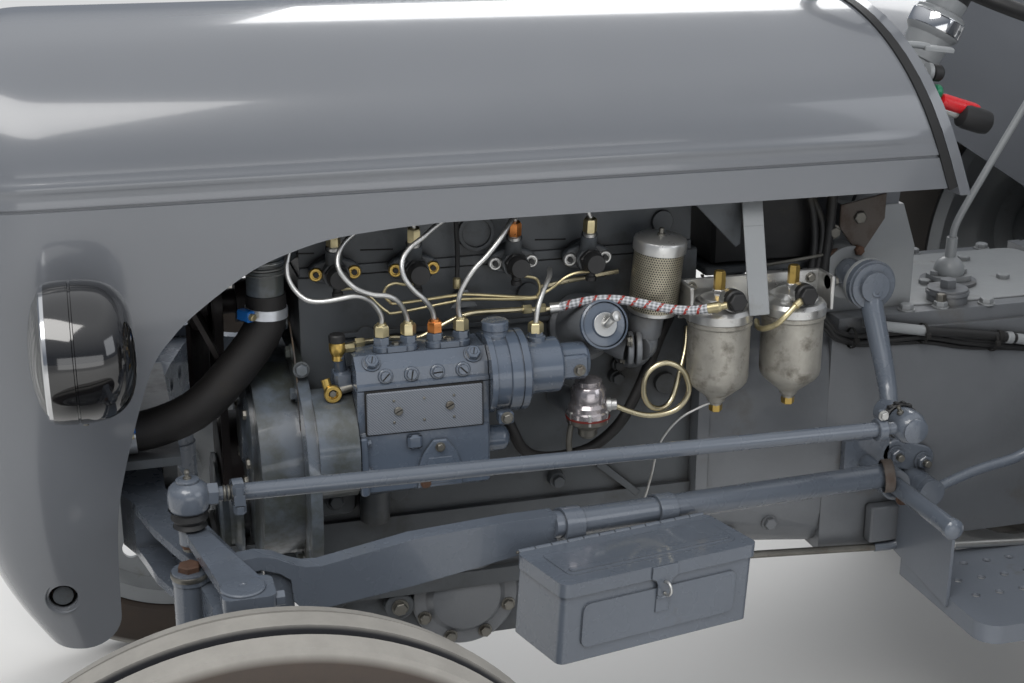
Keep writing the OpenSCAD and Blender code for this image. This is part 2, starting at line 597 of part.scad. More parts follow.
// Band of an outer arm between two heights at its inner and outer end, less an inset
module arm_band(inset) rotate([90, 0, 90]) translate([0, 0, axle_x[0] - 5]) linear_extrude(180)
    polygon([[-149, axle_z[0] + inset], [-149, axle_z[1] - inset], [-190, axle_z[1] + 3 - inset],
        [-286, axle_end_z[1] - inset], [-520, axle_end_z[1] - inset], [-520, axle_end_z[0] + inset],
        [-350, axle_end_z[0] + inset], [-232, axle_z[0] + 6 + inset]]);

// Beam on the support's pin, with swept channel arms that end in king pin bosses
module front_axle() from_axle() color(dark_grey) difference() {
    union() {
        block([axle_x[0], -150, axle_z[0]], [axle_x[1], 150, axle_z[1]]);
        both_sides() {
            difference() {
                intersection() {
                    arm_band(0);
                    translate([0, 0, 500]) linear_extrude(200) polygon(concat(arm_front, arm_rear));
                }
                intersection() {
                    arm_band(channel_wall);
                    translate([0, 0, 500]) linear_extrude(200) polygon(concat(
                        [for (i = [1 : 4]) arm_front[i] - [20, 0]],
                        [for (i = [4 : -1 : 1]) arm_front[i] + [30, 0]]));
                }
            }
            bar([king_x, -king_y, king_z[0]], [king_x, -king_y, king_z[1]], 31);
            bar([rod_eye[0], rod_eye[1], axle_end_z[0] - 6], [rod_eye[0], rod_eye[1], axle_end_z[1] + 0.5], 18);
            for (y = [-212, -250]) disc_x([-50, y, 600], 14, 22);
        }
    }
    for (side = [-1, 1]) {
        translate([king_x, side * king_y, 500]) cylinder(h = 200, r = king_r + shaft_gap);
        for (y = [286, 340]) disc_x([axle_x[0], side * y, 607], 10, 150);
    }
    disc_x([axle_x[0] - 5, 0, axle_pin_z], axle_pin_r + run_gap, 80);
}

rod_kink = [376, -380, 630];  // where the forged blade meets the tube
rod_rear = [880, -237, 572];
side_bar = [897, 558];        // x and height of the bar that carries the rods' rear ends
side_bar_r = 12;
blade_turn = 6.6;             // the forged blade points a little less outward than the tube
// Stays from the outer ends of the axle back to the gearbox: forged blade, tube and rear eye
module radius_rods() from_axle() color(grey) both_sides() {
    tube_dir = (rod_rear - rod_kink) / norm(rod_rear - rod_kink);
    bar(rod_kink - tube_dir * 7, rod_rear, rod_r);
    translate([rod_kink[0], rod_kink[1], 0]) rotate([0, 0, blade_turn]) {
        // blade, then the goose neck over the axle's end, then the thin web under the neck
        side_plate(-11, 11) polygon([
            [-3, 613.5], [-60, 604], [-176, 592], [-285, 585], [-302, 588], [-312, 600],
            [-314, 626], [-326, 636], [-346, 644], [-375, 642], [-404, 641.5], [-404, 653], [-380, 656],
            [-366, 659.5], [-348, 660], [-330, 655], [-312, 644.5], [-298, 638.5], [-280, 636.5], [-240, 641],
            [-176, 648.5], [-60, 649], [-3, 646.5]]);
        side_plate(-4, 4) polygon([[-310, 590], [-341, 596], [-341, 645], [-310, 630]]);
        translate([-418.6, 0, axle_end_z[1] + 1]) cylinder(h = 13, r = 19);
        hex_head([-418.6, 0, axle_end_z[1] + 13.5], [-418.6, 0, arm_low_z - 5.4], 10);
    }
    bar(rod_rear - tube_dir * 2, rod_rear + tube_dir * 12, 11);
    disc_y([side_bar[0], rod_rear[1] + 5, side_bar[1]], 21, 22);
    side_plate(rod_rear[1] - 6, rod_rear[1] + 16) polygon([[rod_rear[0] + 2, rod_rear[2] + 12],
        [side_bar[0] + 10, side_bar[1] + 18], [side_bar[0], side_bar[1] - 20],
        [rod_rear[0] - 4, rod_rear[2] - 12]]);
    disc_y([side_bar[0], -(box_half_w + 384) / 2, side_bar[1]], side_bar_r, 384 - box_half_w);
    translate([side_bar[0], -384, side_bar[1]]) rotate([90, 0, 0]) rotate_extrude()
        polygon([[0, -5], [13.5, -5], [13.5, 3], [11, 6], [6, 8], [0, 8.5]]);
    block([side_bar[0] - 34, -box_half_w - 12, side_bar[1] - 30],
        [side_bar[0] + 34, -box_half_w, side_bar[1] + 34]);
}

module knuckle(side) from_axle() color(grey) scale_side(side) {
    bar([king_x, -king_y, front_z - 20], [king_x, -king_y, arm_top_z + 2.5], king_r - 1);
    bar([king_x, -king_y, front_z - 20], [king_x, -king_y, arm_top_z - 2], king_r);
    bar([king_x, -king_y, front_z - 24], [king_x, -king_y, 420], 27);
    bar([king_x, -king_y, 420], [king_x, -king_y, king_z[0] - run_gap], 24);
    bar([king_x, -king_y, front_z], [king_x, -front_track / 2 - 36, front_z], stub_r);
    // steering arm: flat bar from the clamp on the king pin to the eye under the ball
    translate([0, 0, arm_low_z]) linear_extrude(arm_top_z - arm_low_z)
        polygon([[arm_ball[0] - 9, -372], [arm_ball[0] + 11, -367], [25, -510], [-13, -535]]);
    bar([arm_ball[0], arm_ball[1], arm_low_z - 5], [arm_ball[0], arm_ball[1], arm_top_z], 13);
    translate([0, 0, king_z[1] + run_gap]) linear_extrude(arm_top_z - king_z[1] - run_gap)
        round_flat([king_x - 22, -554], [king_x + 31, -507], 9);
    hex_head([king_x + 30, -543, arm_top_z - 9], [king_x + 39, -543, arm_top_z - 9], 8);
}
stub_r = 20;

// Drop arm: cranked down from its shaft in the steering box to the drag link's rear ball
module drop_arm(side) from_axle() color(grey) scale_side(side) {
    boss_y = -271;
    bar([drop_hub[0], -128, drop_hub[2]], [drop_hub[0], -218, drop_hub[2]], 20);
    bar([drop_hub[0], -186, drop_hub[2]], [drop_hub[0], -212, drop_hub[2]], 30);
    bar([drop_hub[0], -190, drop_hub[2]], [drop_hub[0], -208, drop_hub[2]], 33);
    hose([[859, -192, 838], [859, -204, 812], [866, -222, 760], [873, -240, 705], [866, -262, 682]], 16, 11.5);
    bar([drop_ball[0], boss_y + 13, drop_ball[2]], [drop_ball[0], boss_y - 13, drop_ball[2]], 17);
    bar([drop_ball[0], boss_y - 12, drop_ball[2]], [drop_ball[0], drop_ball[1] + 21, drop_ball[2]], 9);
}

// Drag link: bar with a ball housing at each end; the front housing stands on the knuckle's arm
module drag_link(side) from_axle() color(grey) scale_side(side) {
    a = arm_ball;
    b = drop_ball;
    bar(a + [46, 3, -2], b - [30, -1, 0], link_r);
    bar(a, a + [60, 4, -2], 8);
    hex_head(a + [19, 1, 0], a + [30, 2, -1], 13);
    bar(b - [50, 0, 0], b, 8);
    bar(b - [44, 0, 0], b - [34, 0, 0], 13.5);
    // domed housing over the front ball with its boot, and the housing at the rear
    translate([a[0], a[1], 0]) rotate_extrude() polygon([[0, arm_top_z + run_gap], [12, arm_top_z + run_gap],
        [17, arm_top_z + 4], [15, arm_top_z + 9], [19, arm_top_z + 14], [17, arm_top_z + 21], [20.5, a[2] - 14],
        [22.5, a[2] - 4], [22.5, a[2] + 5], [20, a[2] + 12], [16, a[2] + 16], [12, a[2] + 18], [12, a[2] + 20],
        [0, a[2] + 20]]);
    translate(b + [0, 21 - run_gap, 0]) rotate([90, 0, 0]) rotate_extrude() polygon([[0, 0], [17, 0], [20, 3],
        [21.5, 12], [21.5, 26], [18, 34], [13, 39], [10, 40], [0, 40]]);
    // clamp that locks the screwed end
    bar(a + [46, 3, -2], a + [58, 4, -2], 15);
    block(a + [46, -22, -8], a + [58, -6, 4]);
    bar(a + [52, -16, -17], a + [52, -16, 13], 4);
    for (z = [-18, 4]) hex_head(a + [52, -16, z], a + [52, -16, z + 9], 7);
}

module front_rim(side) from_axle() color(grey) scale_side(side)
    translate([king_x, -front_track / 2, front_z]) rotate([90, 0, 0]) difference() {
        union() {
            rotate_extrude() polygon([[front_rim_r - 14, -44], [front_rim_r + 12, -44], [front_rim_r + 12, -39],
                [front_rim_r - 2, -36], [front_rim_r - 2, -22], [front_rim_r - 16, -14], [front_rim_r - 16, 14],
                [front_rim_r - 2, 22], [front_rim_r - 2, 36], [front_rim_r + 12, 39], [front_rim_r + 12, 44],
                [front_rim_r - 8, 44], [front_rim_r - 8, 26], [front_rim_r - 22, 16], [front_rim_r - 22, -12],
                [front_rim_r - 14, -24]]);
            rotate_extrude() polygon([[21, 6], [60, 6], [95, 22], [150, 22], [front_rim_r - 20, -2],
                [front_rim_r - 20, -10], [150, 14], [98, 14], [64, -2], [21, -2]]);
            cylinder(h = 34, r = 46);
            translate([0, 0, -42]) cylinder(h = 44, r = 38);
            translate([0, 0, 30]) cylinder(h = 14, r1 = 44, r2 = 30);
        }
        translate([0, 0, -60]) cylinder(h = 98, r = stub_r + shaft_gap);
        for (a = [0 : 60 : 300]) rotate(a) translate([180, 0, -30]) cylinder(h = 70, r = 17);
    }

// Three ribbed front tyre
module front_tyre(side) from_axle() color(tyre_black) scale_side(side)
    translate([king_x, -front_track / 2, front_z]) rotate([90, 0, 0]) rotate_extrude() {
        w = front_tyre_w / 2;
        r = front_tyre_r;
        half = concat([[front_rim_r - 2 + run_gap, 36], [front_rim_r + 13, 38.5], [front_rim_r + 20, w - 6]],
            [for (a = [-50 : 20 : 50]) [front_rim_r + 52 + 32 * sin(a), w - 14 + 14 * cos(a)]],
            [[r - 9, w - 14], [r - 4, 24], [r - 13, 22], [r - 13, 15], [r, 13]]);
        polygon(concat(half, [for (i = [len(half) - 1 : -1 : 0]) [half[i][0], -half[i][1]]]));
    }

module rear_rim(side) from_axle() color(grey) scale_side(side)
    translate([wheelbase, -rear_track / 2, rear_z]) rotate([90, 0, 0]) difference() {
        union() {
            rotate_extrude() polygon([[rear_rim_r - 6, -112], [rear_rim_r + 20, -112], [rear_rim_r + 20, -104],
                [rear_rim_r - 2, -98], [rear_rim_r - 2, -60], [rear_rim_r - 24, -40], [rear_rim_r - 24, 40],
                [rear_rim_r - 2, 60], [rear_rim_r - 2, 98], [rear_rim_r + 20, 104], [rear_rim_r + 20, 112],
                [rear_rim_r - 10, 112], [rear_rim_r - 10, 62], [rear_rim_r - 32, 42], [rear_rim_r - 32, -42],
                [rear_rim_r - 10, -62]]);
            rotate_extrude() polygon([[60, 78], [120, 78], [190, 30], [250, 16], [300, 16], [300, 6],
                [248, 6], [186, 18], [116, 66], [60, 66]]);
            for (a = [0 : 60 : 300]) rotate(a) translate([288, -26, 4]) cube([rear_rim_r - 28 - 288, 52, 14]);
            cylinder(h = 100, r = 72);
            translate([0, 0, 98]) cylinder(h = 16, r1 = 58, r2 = 40);
            for (a = [0 : 45 : 315]) rotate(a) translate([100, 0, 70]) cylinder(h = 20, r = 11, $fn = 6);
        }
        translate([0, 0, -1]) cylinder(h = 76, r = 38 + shaft_gap);
    }

// Side view of one rear tyre's rubber without lugs, as a profile of radius and width
module rear_tyre(side) from_axle() color(tyre_black) scale_side(side)
    translate([wheelbase, -rear_track / 2, rear_z]) rotate([90, 0, 0]) {
        w = rear_tyre_w / 2;
        base_r = rear_tyre_r - lug_h;
        half = concat([[rear_rim_r - 2 + run_gap, 97], [rear_rim_r + 21, 103.5], [rear_rim_r + 32, w - 14]],
            [for (a = [-50 : 20 : 50]) [rear_rim_r + 105 + 78 * sin(a), w - 30 + 30 * cos(a)]],
            [[base_r - 20, w - 28], [base_r - 4, w * 0.45]]);
        rotate_extrude() polygon(concat(half, [for (i = [len(half) - 1 : -1 : 0]) [half[i][0], -half[i][1]]]));
        intersection() {
            union() for (i = [0 : lug_count - 1], s = [-1, 1])
                rotate(i * 360 / lug_count + (s > 0 ? 180 / lug_count : 0))
                    rotate([0, 90, 0]) translate([0, 0, base_r - 36]) linear_extrude(100)
                        polygon([[-s * 2, -20], [-s * 2, 16], [-s * (w - 4), 118], [-s * (w - 4), 78]]);
            rotate_extrude() polygon([
                [base_r - 34, -w + 6], [rear_tyre_r - 30, -w + 6], [rear_tyre_r - 6, -w + 40],
                [rear_tyre_r, -w + 80], [rear_tyre_r, w - 80], [rear_tyre_r - 6, w - 40],
                [rear_tyre_r - 30, w - 6], [base_r - 34, w - 6]]);
        }
    }

// Transmission

// Clutch housing behind the engine, narrowing to the gearbox, with its covers
module gearbox() from_axle() color(grey) {
    hull() {
        translate([block_rear_x + 16, 0, 0]) rotate([90, 0, 90]) linear_extrude(10)
            polygon(oval(0, 604, 166, 176, 3, 0, 354, 29));
        translate([830, 0, 0]) rotate([90, 0, 90]) linear_extrude(10)
            polygon(oval(0, 590, box_half_w, 168, 6, 0, 354, 29));
    }
    block([block_rear_x, -168, 440], [block_rear_x + 17, 168, 800]);
    block([838, -box_half_w, box_low_z], [1330, box_half_w, box_top_z - 20]);
    block([850, -box_half_w + 6, box_top_z - 21], [1250, box_half_w - 6, box_top_z]);
    block([1310, -box_half_w - 14, box_low_z - 14], [1330, box_half_w + 14, box_top_z]);
    translate([1034, -108, box_top_z - 1]) cylinder(h = 21, r = 28);
    translate([1034, -108, box_top_z + 12]) cylinder(h = 5, r = 30);
    hex_head([1034, -108, box_top_z + 19], [1034, -108, box_top_z + 32], 12);
    translate([1083, -30, box_top_z - 1]) cylinder(h = 8, r = 40);
    hull() {
        block([880, -90, 405], [1000, 90, box_low_z]);
        block([850, -110, box_low_z - 1], [1030, 110, box_low_z + 1]);
    }
}

column_foot = [926, 0, 900];
column_angle = 63;
column_dir = [cos(column_angle), 0, sin(column_angle)];
wheel_hub = column_foot + column_dir * 357;

// Steering box on the gearbox, its side bosses and the column tube
module steering_box() from_axle() color(grey) {
    difference() {
        union() {
            hull() {
                block([842, -110, box_top_z], [975, 110, 850]);
                block([880, -90, 850], [965, 90, 905]);
            }
            for (side = [-1, 1])
                disc_y([drop_hub[0], side * 122, drop_hub[2]], 36, 40);
        }
        disc_y([drop_hub[0], 0, drop_hub[2]], 20 + shaft_gap, 320);
    }
    difference() {
        union() {
            bar(column_foot - column_dir * 30, column_foot + column_dir * 210, 26);
            bar(column_foot + column_dir * 210, column_foot + column_dir * 300, 22, 28);
        }
        bar(column_foot + column_dir * 250, column_foot + column_dir * 301, 13 + shaft_gap);
    }
}

// Three spoked steering wheel on its shaft
module steering_wheel() from_axle() color(hose_black)
    translate(wheel_hub) rotate([0, 90 - column_angle, 0]) {
        rotate_extrude() translate([steer_wheel_r, 0]) circle(r = 12);
        translate([0, 0, -100]) cylinder(h = 75, r = 13);
        translate([0, 0, -57 + run_gap]) cylinder(h = 61 - run_gap, r = 28);
        for (a = [90 : 120 : 330]) rotate(a) rotate([0, 90, 0]) translate([8, 0, 20])
            cylinder(h = steer_wheel_r - 24, r = 7);
    }

module gear_lever() from_axle() color(alloy) {
    foot = [1083, -30, box_top_z + 7];
    tip = [1215, -35, 1085];
    translate(foot) linear_extrude(8) round_flat([-30, -22], [30, 22], 14);
    for (x = [-23, 23]) hex_head(foot + [x, 0, 7], foot + [x, 0, 14], 7);
    translate(foot + [0, 0, 7]) rotate_extrude() intersection() {
        translate([0, 6]) circle(r = 22);
        square([23, 40]);
    }
    bar(foot + [0, 0, 28], foot + [1, 0, 62], 8);
    hose([foot + [1, 0, 55], foot + [3, 0, 80], [1112, -30, 900], tip], 5.2, n = 16);
    translate(tip) rotate([0, 29, 0]) rotate_extrude() polygon([[0, -14], [8, -14], [15, -4], [17, 5],
        [14, 15], [7, 20], [0, 21]]);
}

// Clutch and brake pedals beside the gearbox
module pedals() from_axle() color(grey) both_sides() {
    pedal = [973, -205, 524];
    bar([pedal[0], -box_half_w, pedal[2]], [pedal[0], pedal[1] - 8, pedal[2]], 19);
    hose([pedal, [1043, -206, 549], [1113, -212, 563], [1176, -222, 622], [1192, -225, 651]], 7.5, n = 16);
    translate([1190, pedal[1] - 20, 652]) rotate([0, -50, 0]) translate([0, 0, -1]) linear_extrude(10)
        round_flat([-35, -42], [35, 42], 8);
}

foot_z = 415;
// Footrests: pressed plates hung on triangular brackets
module footrests() from_axle() color(alloy) both_sides() {
    difference() {
        translate([0, 0, foot_z - 26]) linear_extrude(26) foot_outline(0);
        translate([0, 0, foot_z - 27]) linear_extrude(23) foot_outline(4);
        for (i = [0 : 4], j = [0 : 2])
            translate([992 + i * 36, -222 - j * 44, foot_z - 10]) cylinder(h = 20, r = 6, $fn = small_fn);
    }
    translate([948, 0, 0]) rotate([90, 0, 90]) linear_extrude(5)
        polygon([[-box_half_w, 515], [-200, 510], [-308, 504], [-308, 403], [-165, 421], [-box_half_w, 424]]);
    block([1200, -186, foot_z - 30], [1212, -box_half_w, foot_z + 40]);
}

// Plate of a footrest seen from above, with its outer front corner rounded
module foot_outline(inset) {
    a = [952 + inset, -395 + inset];
    b = [1225 - inset, -182 - inset];
    r = 30 - inset;
    polygon([[a[0], a[1] + r], [a[0] + r, a[1] + r], [a[0] + r, a[1]], [b[0], a[1]], b, [a[0], b[1]]]);
    translate(a + [r, r]) circle(r = r);
}

// Toolbox slung from the left radius rod

box_dir = 15.9;        // the box hangs in line with the rod
box_drop = 3.9;        // slope of the box's lid along the rod
tool_corner = [316, -423, 622];
tool_l = 270;
strap_x = [393, 523];  // where the box's straps hold the rod
strap_w = 26;
tool_d = 98;
tool_h = 94;

module tool_frame() translate(tool_corner) rotate([0, box_drop, box_dir]) children();

module toolbox() from_axle() color(grey) {
    tool_frame() {
        difference() {
            translate([0, 0, -tool_h]) linear_extrude(tool_h - 2)
                round_flat([2, -tool_d + 3], [tool_l - 2, 0], 9);
            translate([0, 0, -tool_h + 3]) linear_extrude(tool_h + 10)
                round_flat([5, -tool_d + 6], [tool_l - 5, -3], 6);
        }
        translate([0, -tool_d + 4, 0]) rotate([90, 0, 0]) linear_extrude(3.5)
            round_flat([28, -tool_h + 16], [tool_l - 28, -26], 10);
        block([tool_l / 2 - 9, -tool_d - 1, -tool_h / 2 - 8], [tool_l / 2 + 9, -tool_d + 1, -tool_h / 2 + 12]);
    }
    for (x = strap_x) let (t = (x - rod_kink[0]) / (rod_rear[0] - rod_kink[0]),
        p = rod_kink + (rod_rear - rod_kink) * t) translate(p) rotate([0, 6.6, 15.9]) difference() {
        union() {
            disc_x([-strap_w / 2, 0, 0], rod_r + 3, strap_w);
            block([-strap_w / 2, -rod_r - 3, -44], [strap_w / 2, -rod_r, 0]);
            block([-strap_w / 2, -rod_r - 10, -44], [strap_w / 2, -rod_r, -32]);
        }
        disc_x([-strap_w / 2 - 1, 0, 0], rod_r + run_gap, strap_w + 2);
    }
}

module toolbox_lid() from_axle() color(grey) tool_frame() {
    difference() {
        translate([0, 0, -14]) linear_extrude(16) round_flat([-1, -tool_d], [tool_l + 1, -1], 11);
        translate([0, 0, -16]) linear_extrude(14.5) round_flat([2 - run_gap * 3, -tool_d + 2],
            [tool_l - 2 + run_gap * 3, 14], 9);
    }
    translate([0, 0, 1.5]) linear_extrude(3) round_flat([26, -tool_d + 24], [tool_l - 22, -tool_d + 33], 4);
    translate([0, 0, 1.5]) linear_extrude(1.4) round_flat([20, -tool_d + 18], [tool_l - 16, -20], 9);
}

// Rear end

module rear_axle() from_axle() color(grey) {
    hull() {
        block([1330, -box_half_w - 8, box_low_z - 6], [1400, box_half_w + 8, box_top_z]);
        block([1560, -165, 400], [1940, 165, 800]);
    }
    both_sides() {
        bar([wheelbase, -160, rear_z], [wheelbase, -420, rear_z], 125, 75);
        bar([wheelbase, -420, rear_z], [wheelbase, -470, rear_z], 175);
        bar([wheelbase, -470, rear_z], [wheelbase, -rear_track / 2 - 70, rear_z], 38);
        bar([link_front[0], -150, link_front[2]], [link_front[0], -252, link_front[2]], link_pin_r);
        bar([link_front[0], -150, link_front[2]], [link_front[0], -216, link_front[2]], 26);
    }
    bar([1935, 0, 507], [1975, 0, 507], 46);
    bar([1970, 0, 507], [2060, 0, 507], pto_r);
}

// Hydraulic lift cover with the seat's foot and the top link's rocker
module lift_cover() from_axle() color(grey) {
    difference() {
        union() {
            hull() {
                block([1600, -150, 800], [1960, 150, 830]);
                block([1640, -120, 850], [1950, 120, 872]);
            }
            disc_y(lift_shaft, 34, 340);
        }
        disc_y(lift_shaft, lift_shaft_r + shaft_gap, 350);
    }
    difference() {
        for (side = [-1, 1]) side_plate(side * 24 - 7, side * 24 + 7)
            polygon([[1940, 802], [1940, 700], [1990, 690], [2014, 712], [2014, 780], [1990, 810],
                [1950, 840]]);
        disc_y([1988, 0, 745], top_pin_r, 100);
    }
}

lift_shaft = [1905, 0, 835];
lift_shaft_r = 20;
top_pin_r = 9.6;
lift_pin = [2120, -205, 905];
module lift_arms() from_axle() color(grey) {
    disc_y(lift_shaft, lift_shaft_r, 430);
    both_sides() {
        disc_y([lift_shaft[0], -193, lift_shaft[2]], 34, 44);
        hull() {
            disc_y([lift_shaft[0], -202, lift_shaft[2]], 26, 20, $fn = blend_fn);
            disc_y([lift_pin[0], -202, lift_pin[2]], 17, 14, $fn = blend_fn);
        }
        disc_y([lift_pin[0], -216, lift_pin[2]], 10, 20);
    }
}

link_front = [1740, -232, 470];
link_rear = [1740 + lower_link_l, -341, 440];
link_pin_r = 14;
eye = [2214, -262, 470];
// Lift rods hung on the arms' pins, ending beside the lower links
module lift_rods() from_axle() color(grey) both_sides() {
    top = [lift_pin[0], -234, lift_pin[2]];
    bar(top + [4, 0, -10], eye + [-4, 0, 10], 11);
    difference() {
        disc_y(top, 19, 16);
        disc_y(top, 10 + shaft_gap, 20);
    }
    disc_y(eye, 17, 16);
}

// Forged lower links with a ball at each end
module lower_links() from_axle() color(grey) both_sides() difference() {
    union() {
        hull() {
            disc_y([link_front[0] + 40, -230, link_front[2] - 1], 22, 14, $fn = blend_fn);
            disc_y([link_rear[0] - 40, -336, link_rear[2] + 1], 24, 14, $fn = blend_fn);
        }
        disc_y(link_front, 31, 28);
        hull() {
            disc_y(link_front, 24, 14, $fn = blend_fn);
            disc_y([link_front[0] + 60, -233, link_front[2] - 2], 22, 14, $fn = blend_fn);
        }
        disc_y(link_rear, 28, 22);
        disc_y(link_rear, 18, 35);
        hull() {
            disc_y(link_rear, 26, 12, $fn = blend_fn);
            disc_y([link_rear[0] - 40, -336, link_rear[2] + 1], 24, 14, $fn = blend_fn);
        }
    }
    disc_y(link_rear, link_ball_r, 60);
    disc_y(link_front, link_pin_r + shaft_gap, 60);
}

seat_x = 1890;
// Pan seat on a bent spring leaf
module seat() from_axle() color(grey) {
    difference() {
        translate([seat_x, 0, 1010]) scale([1, 1, 1]) rotate_extrude() polygon(concat(
            [for (i = [0 : 6]) [215 * i / 6, -60 + 75 * pow(i / 6, 2.4)]],
            [for (i = [6 : -1 : 0]) [(215 - 1) * i / 6, -56 + 75 * pow(i / 6, 2.4)]]));
        block([seat_x - 300, -300, 985], [seat_x - 120, 300, 1100]);
    }
    side_plate(-30, 30) polygon([[1700, 872], [1760, 872], [1900, 945], [1900, 955], [1870, 955],
        [1745, 884], [1700, 884]]);
}

fender_r = 690;
fender_in = 416;
fender_out = 662;
// Fenders: a flat inner wall and a curved top over each rear tyre
module fenders() from_axle() color(grey) both_sides() {
    sector = [[0, 0], [-720, 440], [-720, 900], [0, 1000], [900, 900], [900, -60]];
    translate([wheelbase, 0, rear_z]) {
        intersection() {
            side_plate(-fender_in - 4, -fender_in) difference() {
                circle(r = fender_r, $fn = 96);
                circle(r = 77.2);
            }
            side_plate(-fender_in - 50, -fender_in + 50) polygon(sector);
        }
        intersection() {
            difference() {
                side_plate(-fender_out, -fender_in) circle(r = fender_r, $fn = 96);
                side_plate(-fender_out - 1, -fender_in + 1) circle(r = fender_r - 4, $fn = 96);
            }
            side_plate(-fender_out - 50, -fender_in + 50) polygon(sector);
        }
    }
}

bonnet();
grille();
headlamps();
radiator();
hoses();
fan();
fuel_tank();
dash();
engine_block();
cylinder_head();
timing_case();
injection_pump();
injectors();
breather();
fuel_filters();
exhaust();
front_support();
front_axle();
radius_rods();
gearbox();
steering_box();
steering_wheel();
gear_lever();
pedals();
footrests();
toolbox();
toolbox_lid();
rear_axle();
lift_cover();
lift_arms();
lift_rods();
lower_links();
seat();
fenders();
knuckle(-1);  // knuckle_left
knuckle(1);  // knuckle_right
drop_arm(-1);  // drop_arm_left
drop_arm(1);  // drop_arm_right
drag_link(-1);  // drag_link_left
drag_link(1);  // drag_link_right
front_tyre(-1);  // front_tyre_left
front_tyre(1);  // front_tyre_right
front_rim(-1);  // front_rim_left
front_rim(1);  // front_rim_right
rear_tyre(-1);  // rear_tyre_left
rear_tyre(1);  // rear_tyre_right
rear_rim(-1);  // rear_rim_left
rear_rim(1);  // rear_rim_right
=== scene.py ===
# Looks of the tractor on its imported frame: materials, detailed pieces, camera and light
import bpy
import bmesh
import math
from types import SimpleNamespace
from mathutils import Matrix, Vector


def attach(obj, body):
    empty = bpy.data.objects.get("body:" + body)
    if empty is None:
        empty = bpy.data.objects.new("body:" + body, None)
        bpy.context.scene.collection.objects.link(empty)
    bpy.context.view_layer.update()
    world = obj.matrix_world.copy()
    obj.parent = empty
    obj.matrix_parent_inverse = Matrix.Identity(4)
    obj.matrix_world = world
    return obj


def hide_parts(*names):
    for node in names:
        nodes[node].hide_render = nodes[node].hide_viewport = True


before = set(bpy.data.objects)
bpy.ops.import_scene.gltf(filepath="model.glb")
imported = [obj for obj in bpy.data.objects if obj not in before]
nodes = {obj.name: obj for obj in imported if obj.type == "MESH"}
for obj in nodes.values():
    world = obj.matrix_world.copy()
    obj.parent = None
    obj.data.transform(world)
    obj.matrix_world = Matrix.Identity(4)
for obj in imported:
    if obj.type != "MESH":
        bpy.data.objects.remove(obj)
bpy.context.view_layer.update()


# Sizes are in millimetres from the front axle's line, as in the part's source
AXLE_X = -1115.5
MM = 0.001
pi = math.pi


def rgb(r, g, b):
    """Linear colour of an 8 bit screen colour"""
    out = []
    for c in (r, g, b):
        c /= 255
        out.append(c / 12.92 if c <= 0.04045 else ((c + 0.055) / 1.055) ** 2.4)
    return (*out, 1.0)


# Camera: placed where the photograph was taken from
cam = bpy.data.cameras.new("camera")
cam.lens = 53.44
cam.sensor_width = 36
cam.clip_end = 50
camera = bpy.data.objects.new("camera", cam)
bpy.context.scene.collection.objects.link(camera)
yaw, pitch = math.radians(16.0), math.radians(18.3)
look = Vector((math.sin(yaw) * math.cos(pitch), math.cos(yaw) * math.cos(pitch), -math.sin(pitch)))
camera.location = (-1.2266, -1.8976, 1.3785)
camera.rotation_euler = look.to_track_quat("-Z", "Y").to_euler()
bpy.context.scene.camera = camera


# Materials

# Near-black brown painted into creases and hollows as shade
CREASE_SHADE_COLOUR = rgb(34, 31, 27)


def shade(colour, k):
    """A colour made darker or paler"""
    return tuple(min(1, k * c) for c in colour[:3]) + (1,)


class Nodes:
    """Short hand for the node tree of a material, or of the world"""

    def __init__(self, name, tree=None):
        if tree is None:
            self.mat = bpy.data.materials.new(name)
            self.mat.use_nodes = True
            tree = self.mat.node_tree
            self.shader = tree.nodes["Principled BSDF"]
        self.tree = tree
        self.coord = self.node("TexCoord").outputs["Object"]

    def node(self, kind, **values):
        n = self.tree.nodes.new("ShaderNode" + kind)
        for k, v in values.items():
            if hasattr(n, k):
                setattr(n, k, v)
            else:
                self.put(v, n.inputs[k.replace("_", " ")])
        return n

    def put(self, value, socket):
        if isinstance(value, bpy.types.NodeSocket):
            self.tree.links.new(value, socket)
        else:
            socket.default_value = value

    def set(self, **values):
        """Sets or links the sockets of the material's own shader"""
        for k, v in values.items():
            self.put(v, self.shader.inputs[k.replace("_", " ")])
        return self.mat

    def parts(self, vector):
        out = self.node("SeparateXYZ", Vector=vector).outputs
        return out["X"], out["Y"], out["Z"]

    def noise(self, scale, detail=3.0, rough=0.55):
        n = self.node("TexNoise", Scale=scale, Detail=detail, Roughness=rough, Vector=self.coord)
        return n.outputs["Fac"]

    def ramp(self, fac, stops):
        n = self.node("ValToRGB", Fac=fac)
        e = n.color_ramp.elements
        while len(e) < len(stops):
            e.new(0.5)
        for k, (p, c) in enumerate(stops):
            e[k].position = p
            e[k].color = c if isinstance(c, tuple) else (c, c, c, 1)
        return n.outputs["Color"]

    def mix(self, fac, a, b):
        n = self.node("Mix", data_type="RGBA")
        for k, v in ((0, fac), (6, a), (7, b)):
            self.put(v, n.inputs[k])
        return n.outputs[2]

    def math(self, how, a, b=0.0):
        n = self.node("Math", operation=how)
        self.put(a, n.inputs[0])
        self.put(b, n.inputs[1])
        return n.outputs[0]

    def add(self, a, b):
        return self.math("ADD", a, b)

    def sub(self, a, b):
        return self.math("SUBTRACT", a, b)

    def mul(self, a, b):
        return self.math("MULTIPLY", a, b)

    def bump(self, height, strength, distance, normal=None):
        n = self.node("Bump", Strength=strength, Distance=distance, Height=height)
        if normal:
            self.put(normal, n.inputs["Normal"])
        return n.outputs["Normal"]


